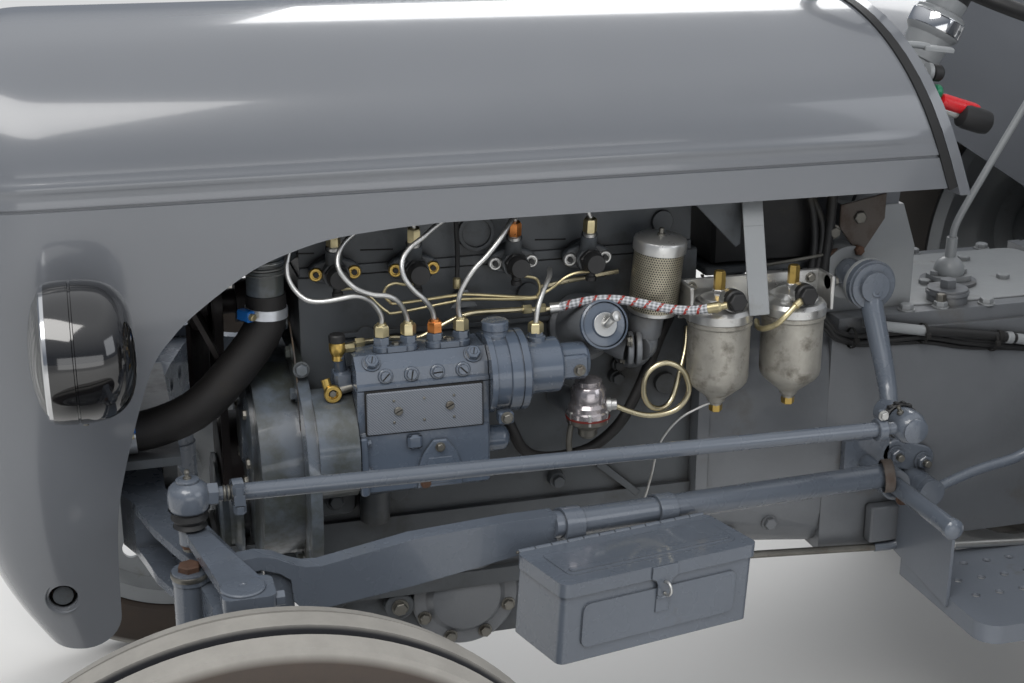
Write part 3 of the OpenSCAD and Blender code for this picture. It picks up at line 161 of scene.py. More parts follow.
def paint(name, base, rough, metal=0.0, coat=0.0, tone=(0.1, 5), dirt=None, crease_shade=0.0, grain=None, edge=0.0,
          rough_var=0.08):
    """Painted, cast or plated surface: uneven tone, patches of dirt, painted shade darkening its creases and
    a fine grain
    """
    # tone and grain are an amount and the scale of its noise, dirt a colour, where it starts and its scale
    s = Nodes(name)
    base = rgb(*base)
    tone, tone_scale = tone
    patches = s.ramp(s.noise(tone_scale, 4.0), [(0.3, 0.0), (0.7, 1.0)])
    colour = s.mix(patches, shade(base, 1 - tone), shade(base, 1 + tone))
    rough_now = s.add(s.mul(s.noise(tone_scale * 5, 3.0), 2 * rough_var), rough - rough_var)
    if dirt:
        *stain, start, scale = dirt
        patch = s.ramp(s.noise(scale, 6.0, 0.65), [(start, 0.0), (min(1, start + 0.16), 1.0)])
        colour = s.mix(s.mul(patch, 0.75), colour, rgb(*stain))
        rough_now = s.add(rough_now, s.mul(patch, 0.25))
    # Painted shade: ambient occlusion darkens creases and hollows towards a near-black brown
    if crease_shade:
        ao = s.node("AmbientOcclusion", samples=4, Distance=0.022)
        colour = s.mix(s.ramp(ao.outputs["AO"], [(0.35, crease_shade), (0.8, 0.0)]), colour, CREASE_SHADE_COLOUR)
    s.set(Base_Color=colour, Roughness=rough_now, Metallic=metal)
    if coat:
        s.set(Coat_Weight=coat, Coat_Roughness=0.06)
    normal = None
    if edge:
        normal = s.node("Bevel", samples=3, Radius=edge * MM).outputs["Normal"]
    if grain:
        depth, scale = grain
        normal = s.bump(s.noise(scale), depth, 0.0008, normal)
    if normal:
        s.set(Normal=normal)
    return s.mat


M = SimpleNamespace()
M.enamel = paint("enamel", (106, 109, 114), 0.22, coat=0.6, tone=(0.04, 2.5), grain=(0.12, 60),
    rough_var=0.04)
M.blue = paint("blue_paint", (88, 95, 105), 0.27, coat=0.5, tone=(0.08, 5), dirt=(70, 66, 60, 0.66, 14),
    crease_shade=0.5, grain=(0.25, 120), edge=1.2)
M.pump = paint("pump_paint", (80, 90, 104), 0.26, coat=0.5, tone=(0.07, 9), dirt=(62, 60, 58, 0.7, 22),
    crease_shade=0.65, grain=(0.25, 160), edge=1.0)
M.engine = paint("engine_paint", (74, 78, 82), 0.46, tone=(0.2, 7), dirt=(52, 49, 44, 0.52, 9), crease_shade=0.85,
    grain=(0.5, 90), edge=1.6)
M.oily = paint("oily_paint", (90, 98, 108), 0.28, coat=0.5, tone=(0.35, 6), dirt=(50, 52, 38, 0.41, 11),
    crease_shade=0.8, grain=(0.4, 70), edge=1.6)
M.casting = paint("box_paint", (100, 103, 107), 0.36, coat=0.2, tone=(0.14, 5), dirt=(84, 78, 66, 0.58, 7),
    crease_shade=0.7, grain=(0.45, 110), edge=2.0)
M.pale = paint("pale_paint", (134, 137, 139), 0.38, tone=(0.08, 5), dirt=(104, 99, 88, 0.6, 12), crease_shade=0.6,
    grain=(0.3, 120), edge=1.4)
M.black = paint("black_enamel", (16, 16, 18), 0.1, coat=1.0, tone=(0.15, 5), rough_var=0.03)
M.matt_black = paint("matt_black", (26, 26, 27), 0.55, tone=(0.25, 5), dirt=(70, 64, 54, 0.64, 6),
    grain=(0.3, 200))
M.hose = paint("hose_rubber", (24, 22, 22), 0.62, tone=(0.2, 14), dirt=(46, 42, 38, 0.62, 18),
    grain=(0.35, 500))
M.steel = paint("bright_steel", (196, 196, 194), 0.38, metal=0.9, tone=(0.12, 30),
    dirt=(120, 110, 92, 0.62, 40), edge=0.5)
M.dull_steel = paint("dull_steel", (120, 118, 112), 0.45, metal=0.9, tone=(0.2, 24),
    dirt=(84, 66, 46, 0.56, 30), edge=0.6)
M.chrome = paint("chrome", (205, 206, 208), 0.1, metal=1.0, tone=(0.04, 5), rough_var=0.03,
    dirt=(90, 80, 66, 0.72, 40))
M.brass = paint("brass", (198, 168, 96), 0.34, metal=0.95, tone=(0.14, 40), dirt=(110, 80, 44, 0.6, 60),
    edge=0.4)
M.zinc = paint("yellow_zinc", (196, 184, 146), 0.34, metal=0.9, tone=(0.2, 30), dirt=(120, 108, 84, 0.6, 40),
    edge=0.4)
M.copper = paint("copper", (206, 134, 78), 0.3, metal=1.0, tone=(0.14, 40), dirt=(90, 56, 36, 0.6, 50))
M.alloy = paint("cast_alloy", (160, 157, 149), 0.45, metal=0.55, tone=(0.18, 34), dirt=(92, 86, 76, 0.52, 30),
    grain=(0.45, 260), edge=0.8)
M.bright_alloy = paint("bright_alloy", (196, 196, 194), 0.3, metal=0.85, tone=(0.08, 20),
    dirt=(110, 104, 94, 0.64, 30), crease_shade=0.4, edge=0.8)
M.rust = paint("rusty_iron", (82, 58, 44), 0.75, tone=(0.3, 30), dirt=(50, 38, 30, 0.5, 40), grain=(0.6, 300))
M.manifold = paint("burnt_iron", (66, 54, 48), 0.8, tone=(0.3, 24), dirt=(84, 58, 44, 0.5, 26),
    grain=(0.8, 240), edge=1.6)
M.rust_plate = paint("stained_plate", (84, 76, 70), 0.5, tone=(0.2, 5), dirt=(66, 50, 40, 0.5, 24),
    crease_shade=0.6, grain=(0.4, 200))
M.blue_plastic = paint("clear_blue_plastic", (30, 92, 160), 0.25, tone=(0.08, 5))
M.band = paint("blank_steel_band", (200, 204, 210), 0.32, metal=0.7, tone=(0.06, 60))
M.red = paint("red_plastic", (192, 26, 34), 0.28, tone=(0.05, 5))
M.gasket = paint("red_gasket", (112, 38, 32), 0.5, tone=(0.15, 5))
M.stain = paint("oily_joint", (40, 34, 30), 0.5, tone=(0.3, 30), dirt=(92, 76, 54, 0.5, 50), grain=(0.5, 300))
M.green = paint("green_plastic", (22, 112, 78), 0.3, tone=(0.05, 5))
# Near black: dark clips and tape, and painted shade in slots, holes and recesses
M.cavity = paint("dark_cavity", (20, 19, 18), 0.8, tone=(0.3, 5), grain=(0.3, 400))
M.fan = paint("dark_red_paint", (34, 24, 24), 0.45, tone=(0.2, 5), dirt=(30, 24, 22, 0.5, 6))
M.sheet = paint("footplate_paint", (104, 110, 119), 0.36, coat=0.2, tone=(0.06, 5),
    dirt=(92, 84, 68, 0.66, 10), crease_shade=0.4, grain=(0.2, 180), edge=1.0)
M.feed = paint("pale_tube", (200, 190, 160), 0.3, metal=1.0, tone=(0.12, 40), dirt=(140, 116, 78, 0.62, 50))
M.bowl = paint("pump_bowl", (178, 172, 174), 0.2, metal=0.8, tone=(0.16, 30), dirt=(100, 84, 76, 0.6, 40))
M.core = paint("radiator_core", (40, 38, 36), 0.6, tone=(0.3, 40), grain=(0.6, 500))


def tyre_rubber(name, axle, track, tread_r, wall_r, ribs, tones):
    """Rubber with painted light: its tread pale with dust and painted sunlight, its walls darker with painted
    shade and its grooves darkest with painted shade, in metres
    """
    s = Nodes(name)
    x, y, z = s.parts(s.coord)
    dx, dz = s.sub(x, axle[0]), s.sub(z, axle[1])
    radius = s.math("SQRT", s.add(s.mul(dx, dx), s.mul(dz, dz)))
    tread, wall, groove = tones
    dust = s.ramp(s.noise(24.0, 5.0, 0.7), [(0.35, 0.0), (0.7, 1.0)])
    # The tread's tone is dusty rubber brightened as painted sunlight, the wall's tone rubber darkened as
    # painted shade
    top = s.mix(dust, shade(tread, 0.82), tread)
    side = s.mix(dust, wall, shade(wall, 1.5))
    # The outer band from wall to tread takes the sunlit tread tone: painted light
    up = s.ramp(s.math("DIVIDE", s.sub(radius, wall_r), tread_r - wall_r), [(0.35, 0.0), (0.6, 1.0)])
    # Grooves, across the tread or below its top, take the groove tone as painted shade
    if ribs:
        across = s.math("ABSOLUTE", s.sub(s.math("ABSOLUTE", y), track / 2))
        a, b = ribs[0] / (2 * ribs[1]), 0.5
        groove_shade = s.ramp(s.math("DIVIDE", across, 2 * ribs[1]),
                      [(a - 0.01, 0.0), (a + 0.01, 1.0), (b - 0.01, 1.0), (b + 0.01, 0.0)])
    else:
        groove_shade = s.ramp(s.math("DIVIDE", s.sub(tread_r, radius), 0.05), [(0.25, 0.0), (0.55, 1.0)])
    colour = s.mix(s.mul(groove_shade, up), s.mix(up, side, top), groove)
    return s.set(Base_Color=colour, Roughness=s.add(s.mul(dust, 0.2), 0.66),
                 Normal=s.bump(s.noise(320.0, 4.0), 0.3, 0.0006))


FRONT_TYRE = ((5 + AXLE_X) * MM, 0.345)
REAR_TYRE = ((1778 + AXLE_X) * MM, 0.622)
# Tones of tread, wall and groove: a pale tread of dust and painted sunlight, walls and grooves darkened as
# painted shade
M.front_tyre = tyre_rubber("front_tyre_rubber", FRONT_TYRE, 1.25, 0.345, 0.312, (0.0132, 0.0232),
                           (rgb(150, 147, 141), rgb(56, 48, 42), rgb(30, 31, 36)))
M.rear_tyre = tyre_rubber("rear_tyre_rubber", REAR_TYRE, 1.32, 0.622, 0.555, None,
                          (rgb(112, 109, 103), rgb(46, 43, 40), rgb(58, 54, 49)))


def perforated():
    """Plated sheet with rows of round holes, laid out on the piece's own UV"""
    s = Nodes("perforated_zinc")
    u, v, _ = s.parts(s.node("UVMap").outputs["UV"])
    shift = s.mul(s.math("MODULO", s.math("FLOOR", v), 2.0), 0.5)
    fx = s.sub(s.math("FRACT", s.add(u, shift)), 0.5)
    fy = s.mul(s.sub(s.math("FRACT", v), 0.5), 0.87)
    hole = s.ramp(s.math("SQRT", s.add(s.mul(fx, fx), s.mul(fy, fy))), [(0.25, 1.0), (0.32, 0.0)])
    sheet = s.mix(s.noise(30.0), rgb(146, 141, 126), rgb(192, 186, 166))
    metal = s.sub(1.0, hole)
    # The holes are painted near black, as the shade inside the can
    return s.set(Base_Color=s.mix(hole, sheet, rgb(16, 14, 12)), Metallic=s.mul(metal, 0.85), Roughness=0.36,
                 Normal=s.bump(metal, 0.6, 0.001))


def braided():
    """Woven hose cover, pale with red flecks, laid out on the piece's own UV"""
    s = Nodes("braided_hose")
    u, v, _ = s.parts(s.node("UVMap").outputs["UV"])
    a = s.math("SINE", s.mul(s.add(u, v), 6.2832 * 2))
    b = s.math("SINE", s.mul(s.sub(u, v), 6.2832 * 2))
    weave = s.mul(s.add(s.mul(a, b), 1.0), 0.5)
    thread = s.math("FRACT", s.add(s.mul(u, 0.5), s.mul(v, 1.35)))
    red = s.mul(s.ramp(thread, [(0.2, 1.0), (0.24, 0.0)]), s.ramp(weave, [(0.2, 0.0), (0.35, 1.0)]))
    cover = s.mix(weave, rgb(98, 100, 104), rgb(206, 208, 212))
    return s.set(Base_Color=s.mix(red, cover, rgb(150, 44, 34)), Roughness=0.6,
                 Normal=s.bump(weave, 0.5, 0.001))


def hatched():
    """Cover plate with fine diagonal milling"""
    s = Nodes("hatched_plate")
    x, _, z = s.parts(s.coord)
    line = s.mul(s.add(s.math("SINE", s.mul(s.add(x, z), 1900.0)), 1.0), 0.5)
    return s.set(Base_Color=s.mix(line, rgb(92, 98, 108), rgb(122, 126, 132)), Roughness=0.35,
                 Normal=s.bump(line, 0.35, 0.0006))


def glass():
    """Fluted lamp glass"""
    s = Nodes("lamp_glass")
    flute = s.math("SINE", s.mul(s.parts(s.coord)[1], 900.0))
    return s.set(Base_Color=(0.95, 0.97, 0.96, 1), Transmission_Weight=0.9, IOR=1.45,
                 Roughness=s.add(s.mul(s.noise(20.0), 0.06), 0.03), Normal=s.bump(flute, 0.3, 0.0006))


M.perforated = perforated()
M.braid = braided()
M.hatch = hatched()
M.glass = glass()


# Shape building

REAR, FRONT, LEFT, UP, DOWN = (1, 0, 0), (-1, 0, 0), (0, -1, 0), (0, 0, 1), (0, 0, -1)


def unit(v):
    return v / max(v.length, 1e-12)


def square(d):
    """A direction and two more across it"""
    d = unit(Vector(d))
    side = Vector(UP) if abs(d.z) < 0.9 else Vector(REAR)
    u = unit(side - d * side.dot(d))
    return d, u, d.cross(u)


def turns(n, start=0.0):
    return [start + 2 * pi * k / n for k in range(n)]


def quarter(n):
    """Angles up to a right angle in equal steps, the first left out"""
    return [pi / 2 * k / n for k in range(1, n + 1)]


def cap(r, h, top_r, top_h, low=0):
    """Profile of a straight side under a chamfer and a flat top"""
    return [(r, low), (r, h), (top_r, top_h), (0, top_h)]


def disc(r, h, low=0):
    return [(r, low), (r, h), (0, h)]


SHARP = 32


class Shape:
    """Faces of one piece, each with its material"""

    def __init__(self, name):
        self.name = name
        self.verts, self.faces, self.mats, self.uvs, self.used = [], [], [], [], []

    def add(self, verts, faces, mat, uvs):
        base = len(self.verts)
        self.verts += [Vector(v) for v in verts]
        if mat not in self.used:
            self.used.append(mat)
        for i, f in enumerate(faces):
            self.faces.append([base + j for j in f])
            self.mats.append(self.used.index(mat))
            self.uvs.append(uvs[i] if uvs else None)

    def rings(self, rings, mat, caps=True, uv=None):
        """Skin over a list of rings with equal numbers of points; a ring of one point is a tip"""
        verts, faces, uvs, start = [], [], [], []
        for r in rings:
            start.append(len(verts))
            verts += r
        for i, (a, b) in enumerate(zip(rings, rings[1:])):
            n = max(len(a), len(b))
            for k in range(n):
                q = (k + 1) % n
                pa, pb = (0, 0) if len(a) == 1 else (k, q)
                ca, cb = (0, 0) if len(b) == 1 else (k, q)
                f = [start[i] + pa, start[i] + pb, start[i + 1] + cb, start[i + 1] + ca]
                faces.append(list(dict.fromkeys(f)))
                if uv:
                    t = [(k, i), (k + 1, i), (k + 1, i + 1), (k, i + 1)]
                    uvs.append([uv(*p) for p in t][:len(faces[-1])])
        for i, way in ((0, -1), (len(rings) - 1, 1)):
            n = len(rings[i])
            if caps and n > 2:
                faces.append(list(range(start[i], start[i] + n))[::way])
                if uv:
                    uvs.append([(0, 0)] * n)
        self.add(verts, faces, mat, uvs)

    def turn(self, p, d, prof, mat, n=28, start=0.0, uv=None, caps=True):
        """Profile of (radius, height) pairs turned about a direction from a point"""
        d, u, w = square(d)
        around = [u * math.cos(a) + w * math.sin(a) for a in turns(n, start)]
        rings = []
        for r, h in prof:
            c = Vector(p) + d * h
            rings.append([c] if r < 1e-6 else [c + v * r for v in around])
        self.rings(rings, mat, caps=caps, uv=uv)

    def rod(self, points, r, mat, n=12, steps=5, uv=None):
        """Round bar or pipe on a smooth curve through points"""
        pts = [Vector(p) for p in points]
        if len(pts) > 2:
            pts = curve(pts, steps)
        last = len(pts) - 1
        u = square(unit(pts[1] - pts[0]))[1]
        rings, runs, length = [], [], 0.0
        for i, p in enumerate(pts):
            t = unit(pts[min(i + 1, last)] - pts[max(i - 1, 0)])
            u = unit(u - t * u.dot(t))
            w = t.cross(u)
            rings.append([p + (u * math.cos(a) + w * math.sin(a)) * r for a in turns(n)])
            length += (p - pts[i - 1]).length if i else 0.0
            runs.append(length)
        self.rings(rings, mat, uv=(lambda k, i: uv(k / n, runs[i])) if uv else None)

    def hexa(self, p, d, r, h, mat, turned=0.3):
        """Hexagon head or nut with a chamfered top"""
        self.turn(p, d, [(0, 0)] + cap(r, h * 0.84, r * 0.86, h), mat, 6, turned)

    def bolt(self, p, d, r, mat):
        """Hexagon head on a washer"""
        d = unit(Vector(d))
        t = r * 0.22
        self.turn(p, d, disc(r * 1.25, t, -0.5), mat, 20)
        self.hexa(Vector(p) + d * t, d, r, r * 0.75, mat, r * 1.7)

    def screw(self, p, d, r, mat, slot_dir=(1, 0, 0.4)):
        """Cheese head with a slot"""
        d = unit(Vector(d))
        s = unit(Vector(slot_dir) - d * Vector(slot_dir).dot(d))
        h = r * 0.5
        self.turn(p, d, cap(r, h * 0.8, r * 0.9, h, -0.5), mat, 20)
        top = Vector(p) + d * (h + 0.05)
        # The slot is a near-black bar on the head: painted shade in the slot
        self.beam([top - s * r * 0.9, top + s * r * 0.9], d.cross(s) * r * 0.13, d * 0.1, M.cavity)

    def beam(self, line, half_a, half_b, mat, c=0.0):
        """Straight bar of rectangular section between two points, with chamfered long edges"""
        a, b = Vector(half_a), Vector(half_b)
        loop = [a + b, -a + b, -a - b, a - b]
        if c:
            ca, cb = unit(a) * c, unit(b) * c
            loop = [a + b - cb, a + b - ca, b - a + ca, b - a - cb,
                    cb - a - b, ca - a - b, a - b - ca, a - b + cb]
        self.rings([[Vector(end) + v for v in loop] for end in line], mat)

    def box(self, lo, hi, mat, c=1.0):
        """Box between two corners with all edges chamfered"""
        lo, hi = Vector(lo), Vector(hi)
        rings = []
        for z, s in ((lo.z, c), (lo.z + c, 0), (hi.z - c, 0), (hi.z, c)):
            x0, x1, y0, y1 = lo.x + s, hi.x - s, lo.y + s, hi.y - s
            rings.append([Vector(v) for v in (
                (x0 + c, y0, z), (x1 - c, y0, z), (x1, y0 + c, z), (x1, y1 - c, z),
                (x1 - c, y1, z), (x0 + c, y1, z), (x0, y1 - c, z), (x0, y0 + c, z))])
        self.rings(rings, mat)

    def plate(self, outline, p, u, v, t, mat, c=0.0):
        """Flat outline in two directions from a point, thickened, with a chamfer on its front edge"""
        p, u, v = Vector(p), unit(Vector(u)), unit(Vector(v))
        w = u.cross(v)
        pts = [Vector(q) for q in outline]
        if sum(a.x * b.y - b.x * a.y for a, b in zip(pts, pts[1:] + pts[:1])) < 0:
            pts.reverse()

        def ring(inset, h):
            out = []
            for i, q in enumerate(pts):
                a, b = unit(q - pts[i - 1]), unit(pts[(i + 1) % len(pts)] - q)
                na, nb = Vector((-a.y, a.x)), Vector((-b.y, b.x))
                m = unit(na + nb)
                s = q + m * inset / max(0.3, m.dot(na))
                out.append(p + u * s.x + v * s.y + w * h)
            return out
        self.rings([ring(0, 0), ring(0, t - c), ring(c, t)] if c else [ring(0, 0), ring(0, t)], mat)

    def made(self, body, replaces=(), slot=None, mirror=False):
        """Makes the object, sets its shading and puts it on its body"""
        name = self.name + ("_right" if mirror else "")
        mesh = bpy.data.meshes.new(name)
        side = -MM if mirror else MM
        faces = [f[::-1] for f in self.faces] if mirror else self.faces
        mesh.from_pydata([((v.x + AXLE_X) * MM, v.y * side, v.z * MM) for v in self.verts], [], faces)
        for mat in self.used:
            mesh.materials.append(mat)
        mesh.polygons.foreach_set("material_index", self.mats)
        mesh.polygons.foreach_set("use_smooth", [True] * len(faces))
        if any(self.uvs):
            layer = mesh.uv_layers.new(name="UVMap")
            for poly, uv in zip(mesh.polygons, self.uvs):
                for k, loop in enumerate(poly.loop_indices):
                    layer.data[loop].uv = uv[k] if uv and k < len(uv) else (0, 0)
        mesh.validate()
        mesh.update()
        mesh.set_sharp_from_angle(angle=math.radians(SHARP))
        obj = bpy.data.objects.new(name, mesh)
        bpy.context.scene.collection.objects.link(obj)
        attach(obj, body)
        if replaces:
            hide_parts(*replaces)
        return obj


def curve(pts, steps):
    """Catmull-Rom points through a list of points"""
    p = [pts[0] * 2 - pts[1], *pts, pts[-1] * 2 - pts[-2]]
    out = []
    for a, b, c, d in zip(p, p[1:], p[2:], p[3:]):
        for t in (k / steps for k in range(steps)):
            out.append(0.5 * ((2 * b) + (c - a) * t + (2 * a - 5 * b + 4 * c - d) * t * t
                              + (3 * b - a - 3 * c + d) * t * t * t))
    return out + [Vector(pts[-1])]


def rounded(w, h, r):
    """Outline of a rectangle with round corners about its middle"""
    out = []
    x, y = w / 2 - r, h / 2 - r
    for cx, cy, a0 in ((x, y, 0), (-x, y, 90), (-x, -y, 180), (x, -y, 270)):
        for a in (math.radians(a0 + 22.5 * k) for k in range(5)):
            out.append((cx + r * math.cos(a), cy + r * math.sin(a)))
    return out


# Bonnet: a finer skin on the same curves as the part's source

half_w0, low_half_w, top_z, seam_z, strip_z = 234.0, 192.0, 1190.0, 1000.0, 958.0
nose_x, turn_x, turn_z, tuck, low_z = -288.0, -150.0, 800.0, 78.0, 450.0
rear_x, lean, arch_x = 949.0, 93 / 230, -112.0


def swell(t, power):
    """Rounded fall from 1 to 0"""
    return max(0.0, 1 - t ** power) ** (1 / power)


def half_w(z):
    if z >= seam_z:
        return half_w0 * swell((z - seam_z) / (top_z - seam_z), TOP_POWER)
    return half_w0 - (half_w0 - low_half_w) * min(1.0, (seam_z - z) / (seam_z - low_z)) ** 1.6


def nose_front(z):
    if z >= turn_z:
        return turn_x - (turn_x - nose_x) * swell((z - turn_z) / (top_z - turn_z), NOSE_POWER)
    return nose_x + tuck * min(1.0, (turn_z - z) / (turn_z - low_z)) ** 4


def rear_at(z):
    return rear_x - max(0.0, z - strip_z) * lean


arch_ctrl = [(arch_x, 450), (-112, 505), (-107, 617), (-90, 700), (-57, 805), (-30, 845), (3, 876), (61, 916),
    (110, 936), (164, 949), (260, 957), (367, 958), (rear_x, 958)]
arch = [(v.x, v.y) for v in curve([Vector((x, z, 0)) for x, z in arch_ctrl], 4)]
HINGE_X, HINGE_Z = -177, 525
TOP_POWER, NOSE_POWER = 2.35, 3.2
# Faces along the straight side, round the nose and up the crown
SIDE, NOSE, CROWN = 54, 30, 22


def bonnet():
    bm = bmesh.new()
    groove = [seam_z - 3.2, seam_z - 2.2, seam_z - 1.6, seam_z + 1.6, seam_z + 2.2]
    rib = [1015.0, 1018.5, 1022.0, 1026.0, 1029.5, 1033.0]
    crown = [1037 + (top_z - 1037) * math.sin(pi / 2 * i / CROWN) for i in range(CROWN)]
    levels = sorted(set([420 + 14.5 * i for i in range(40)] + groove + rib + [1008.0] + crown))
    xs = [turn_x + (rear_x + 60 - turn_x) * i / SIDE for i in range(SIDE + 1)]

    def place(j, z):
        if j <= SIDE:
            y = -half_w(z)
            x = xs[SIDE - j]
            out = Vector(LEFT)
        else:
            a = pi / 2 * (1 - (j - SIDE) / NOSE)
            w, f = half_w(z), nose_front(z)
            c, s = math.cos(a), math.sin(a)
            x = turn_x - (turn_x - f) * max(0.0, c) ** (2 / 3)
            y = -w * max(0.0, s) ** (2 / 3)
            out = unit(Vector((-c, -s, 0)))
        d = 0.0
        # groove of the seam with a lip over it, and the rib above them
        if abs(z - seam_z) < 1.9 and x > -235:
            d = -2.6
        elif seam_z + 1.9 < z < 1012:
            d = 0.8
        if 1016 < z < 1032:
            ends = min(1, max(0, (892 - x) / 60)), min(1, max(0, (x + 250) / 60))
            d = 2.4 * math.cos((z - 1024) / 8.2 * pi / 2) * ends[0] * ends[1]
        return Vector((x, y, z)) + out * d

    rows = []
    for z in levels:
        rows.append([bm.verts.new(place(j, z)) for j in range(SIDE + NOSE + 1)])
    tip = [bm.verts.new((place(j, top_z - 1e-4).x, 0, top_z)) for j in range(SIDE + NOSE + 1)]
    rows.append(tip)
    for a, b in zip(rows, rows[1:]):
        for j in range(SIDE + NOSE):
            bm.faces.new((a[j], b[j], b[j + 1], a[j + 1]))

    def cut(poly, axes, where=lambda f: True):
        u, w = axes
        edges = list(zip(poly, poly[1:] + poly[:1]))
        for a, b in edges:
            lo = (min(a[0], b[0]) - 1, min(a[1], b[1]) - 1)
            hi = (max(a[0], b[0]) + 1, max(a[1], b[1]) + 1)
            faces = []
            for f in bm.faces:
                if not where(f):
                    continue
                p = [v.co[u] for v in f.verts]
                q = [v.co[w] for v in f.verts]
                if max(p) >= lo[0] and min(p) <= hi[0] and max(q) >= lo[1] and min(q) <= hi[1]:
                    faces.append(f)
            if not faces:
                continue
            n = Vector((0, 0, 0))
            n[u], n[w] = b[1] - a[1], a[0] - b[0]
            if n.length < 1e-9:
                continue
            co = Vector((0, 0, 0))
            co[u], co[w] = a
            geom = set(faces)
            for f in faces:
                geom.update(f.edges)
                geom.update(f.verts)
            bmesh.ops.bisect_plane(bm, geom=list(geom), plane_co=co, plane_no=n.normalized(), dist=1e-5)

        def inside(x, y):
            hit = False
            for (x0, y0), (x1, y1) in edges:
                if (y0 > y) != (y1 > y) and x < (x1 - x0) * (y - y0) / (y1 - y0) + x0:
                    hit = not hit
            return hit
        gone = []
        for f in bm.faces:
            c = f.calc_center_median()
            if where(f) and inside(c[u], c[w]):
                gone.append(f)
        bmesh.ops.delete(bm, geom=gone, context="FACES")

    low = arch + [(rear_x + 90, 958), (rear_x + 90, 380), (arch_x, 380)]
    cut(low, (0, 2))
    cut([(rear_x, strip_z - 5), (rear_x + 90, strip_z - 5), (rear_x + 90, 1230), (rear_at(1230), 1230)],
        (0, 2))
    c = (arch_x - 44, low_z + 44)
    lobe = [(c[0] + 44 * math.sin(a), c[1] - 44 * math.cos(a)) for a in (pi / 2 * k / 8 for k in range(9))]
    cut([(-400, low_z + 24), (-230, low_z + 4)] + lobe + [(arch_x + 40, low_z + 44), (arch_x + 40, 400),
        (-400, 400)], (0, 2))
    grille = [(-108, 505), (108, 505), (148, 945), (112, 1001), (58, 1015), (-58, 1015), (-112, 1001),
        (-148, 945)]
    cut(grille, (1, 2), where=lambda f: f.calc_center_median().x < -155)
    ring = [(HINGE_X + 17 * math.cos(a), HINGE_Z + 17 * math.sin(a)) for a in turns(24)]
    cut(ring, (0, 2), where=lambda f: f.calc_center_median().y < -120)
    bmesh.ops.mirror(bm, geom=list(bm.verts) + list(bm.edges) + list(bm.faces), axis="Y", merge_dist=1e-3)
    bmesh.ops.remove_doubles(bm, verts=list(bm.verts), dist=0.02)
    bmesh.ops.recalc_face_normals(bm, faces=list(bm.faces))
    for v in bm.verts:
        v.co = Vector(((v.co.x + AXLE_X) * MM, v.co.y * MM, v.co.z * MM))
    mesh = bpy.data.meshes.new("bonnet_skin")
    bm.to_mesh(mesh)
    bm.free()
    mesh.materials.append(M.enamel)
    mesh.polygons.foreach_set("use_smooth", [True] * len(mesh.polygons))
    obj = bpy.data.objects.new("bonnet_skin", mesh)
    bpy.context.scene.collection.objects.link(obj)
    mod = obj.modifiers.new("wall", "SOLIDIFY")
    mod.thickness = 3.0 * MM
    mod.offset = -1
    mod.use_even_offset = False
    bpy.context.view_layer.update()
    done = bpy.data.meshes.new_from_object(obj.evaluated_get(bpy.context.evaluated_depsgraph_get()))
    obj.modifiers.clear()
    obj.data = done
    done.set_sharp_from_angle(angle=math.radians(40))
    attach(obj, "bonnet")
    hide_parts("bonnet")


bonnet()

trim = Shape("bonnet_trim")
edge_levels = [strip_z + (top_z - strip_z) * math.sin(pi / 2 * i / 26) for i in range(27)]
line = [Vector((rear_at(z) - 2, -half_w(z), z)) for z in edge_levels]
line += [Vector((v.x, -v.y, v.z)) for v in reversed(line[:-1])]
ring_list = []
for i, p in enumerate(line):
    t = unit(line[min(i + 1, len(line) - 1)] - line[max(i - 1, 0)])
    out = unit(Vector((0, p.y, max(0.0, p.z - 985) * 1.15)))
    out = unit(out - t * out.dot(t))
    back = t.cross(out) if t.cross(out).x > 0 else out.cross(t)
    ring_list.append([p + out * 3.2 - back * 6, p + out * 3.6 + back * 5, p + out * 1.5 + back * 7.5,
        p - out * 5.5 + back * 7.5, p - out * 5.5 - back * 6])
trim.rings(ring_list, M.matt_black)
for side in (-1, 1):
    trim.turn((HINGE_X, side * 196.5, HINGE_Z), (0, -side, 0), [(17, 3), (20, -2.6), (21, -3), (21, -2),
        (17, 2), (16.5, 8)], M.enamel, 36, caps=False)
    # Near-black cup inside the pivot's hole: painted shade in the recess
    trim.turn((HINGE_X, side * 190, HINGE_Z), (0, -side, 0), [(16.6, 0), (16, 14), (0, 14)], M.cavity, 36,
        caps=False)
    trim.turn((HINGE_X, side * 178, HINGE_Z), (0, side, 0), disc(14, 2.5), M.rust)
    trim.hexa((HINGE_X, side * 181, HINGE_Z), (0, side, 0), 9.5, 7, M.rust)
trim.made("bonnet", slot="black_paint")


# Headlamps: middle of the rim and radius of the shell
LAMP_X, LAMP_Y, LAMP_Z, LAMP_R = -165, 312, 865, 77.0

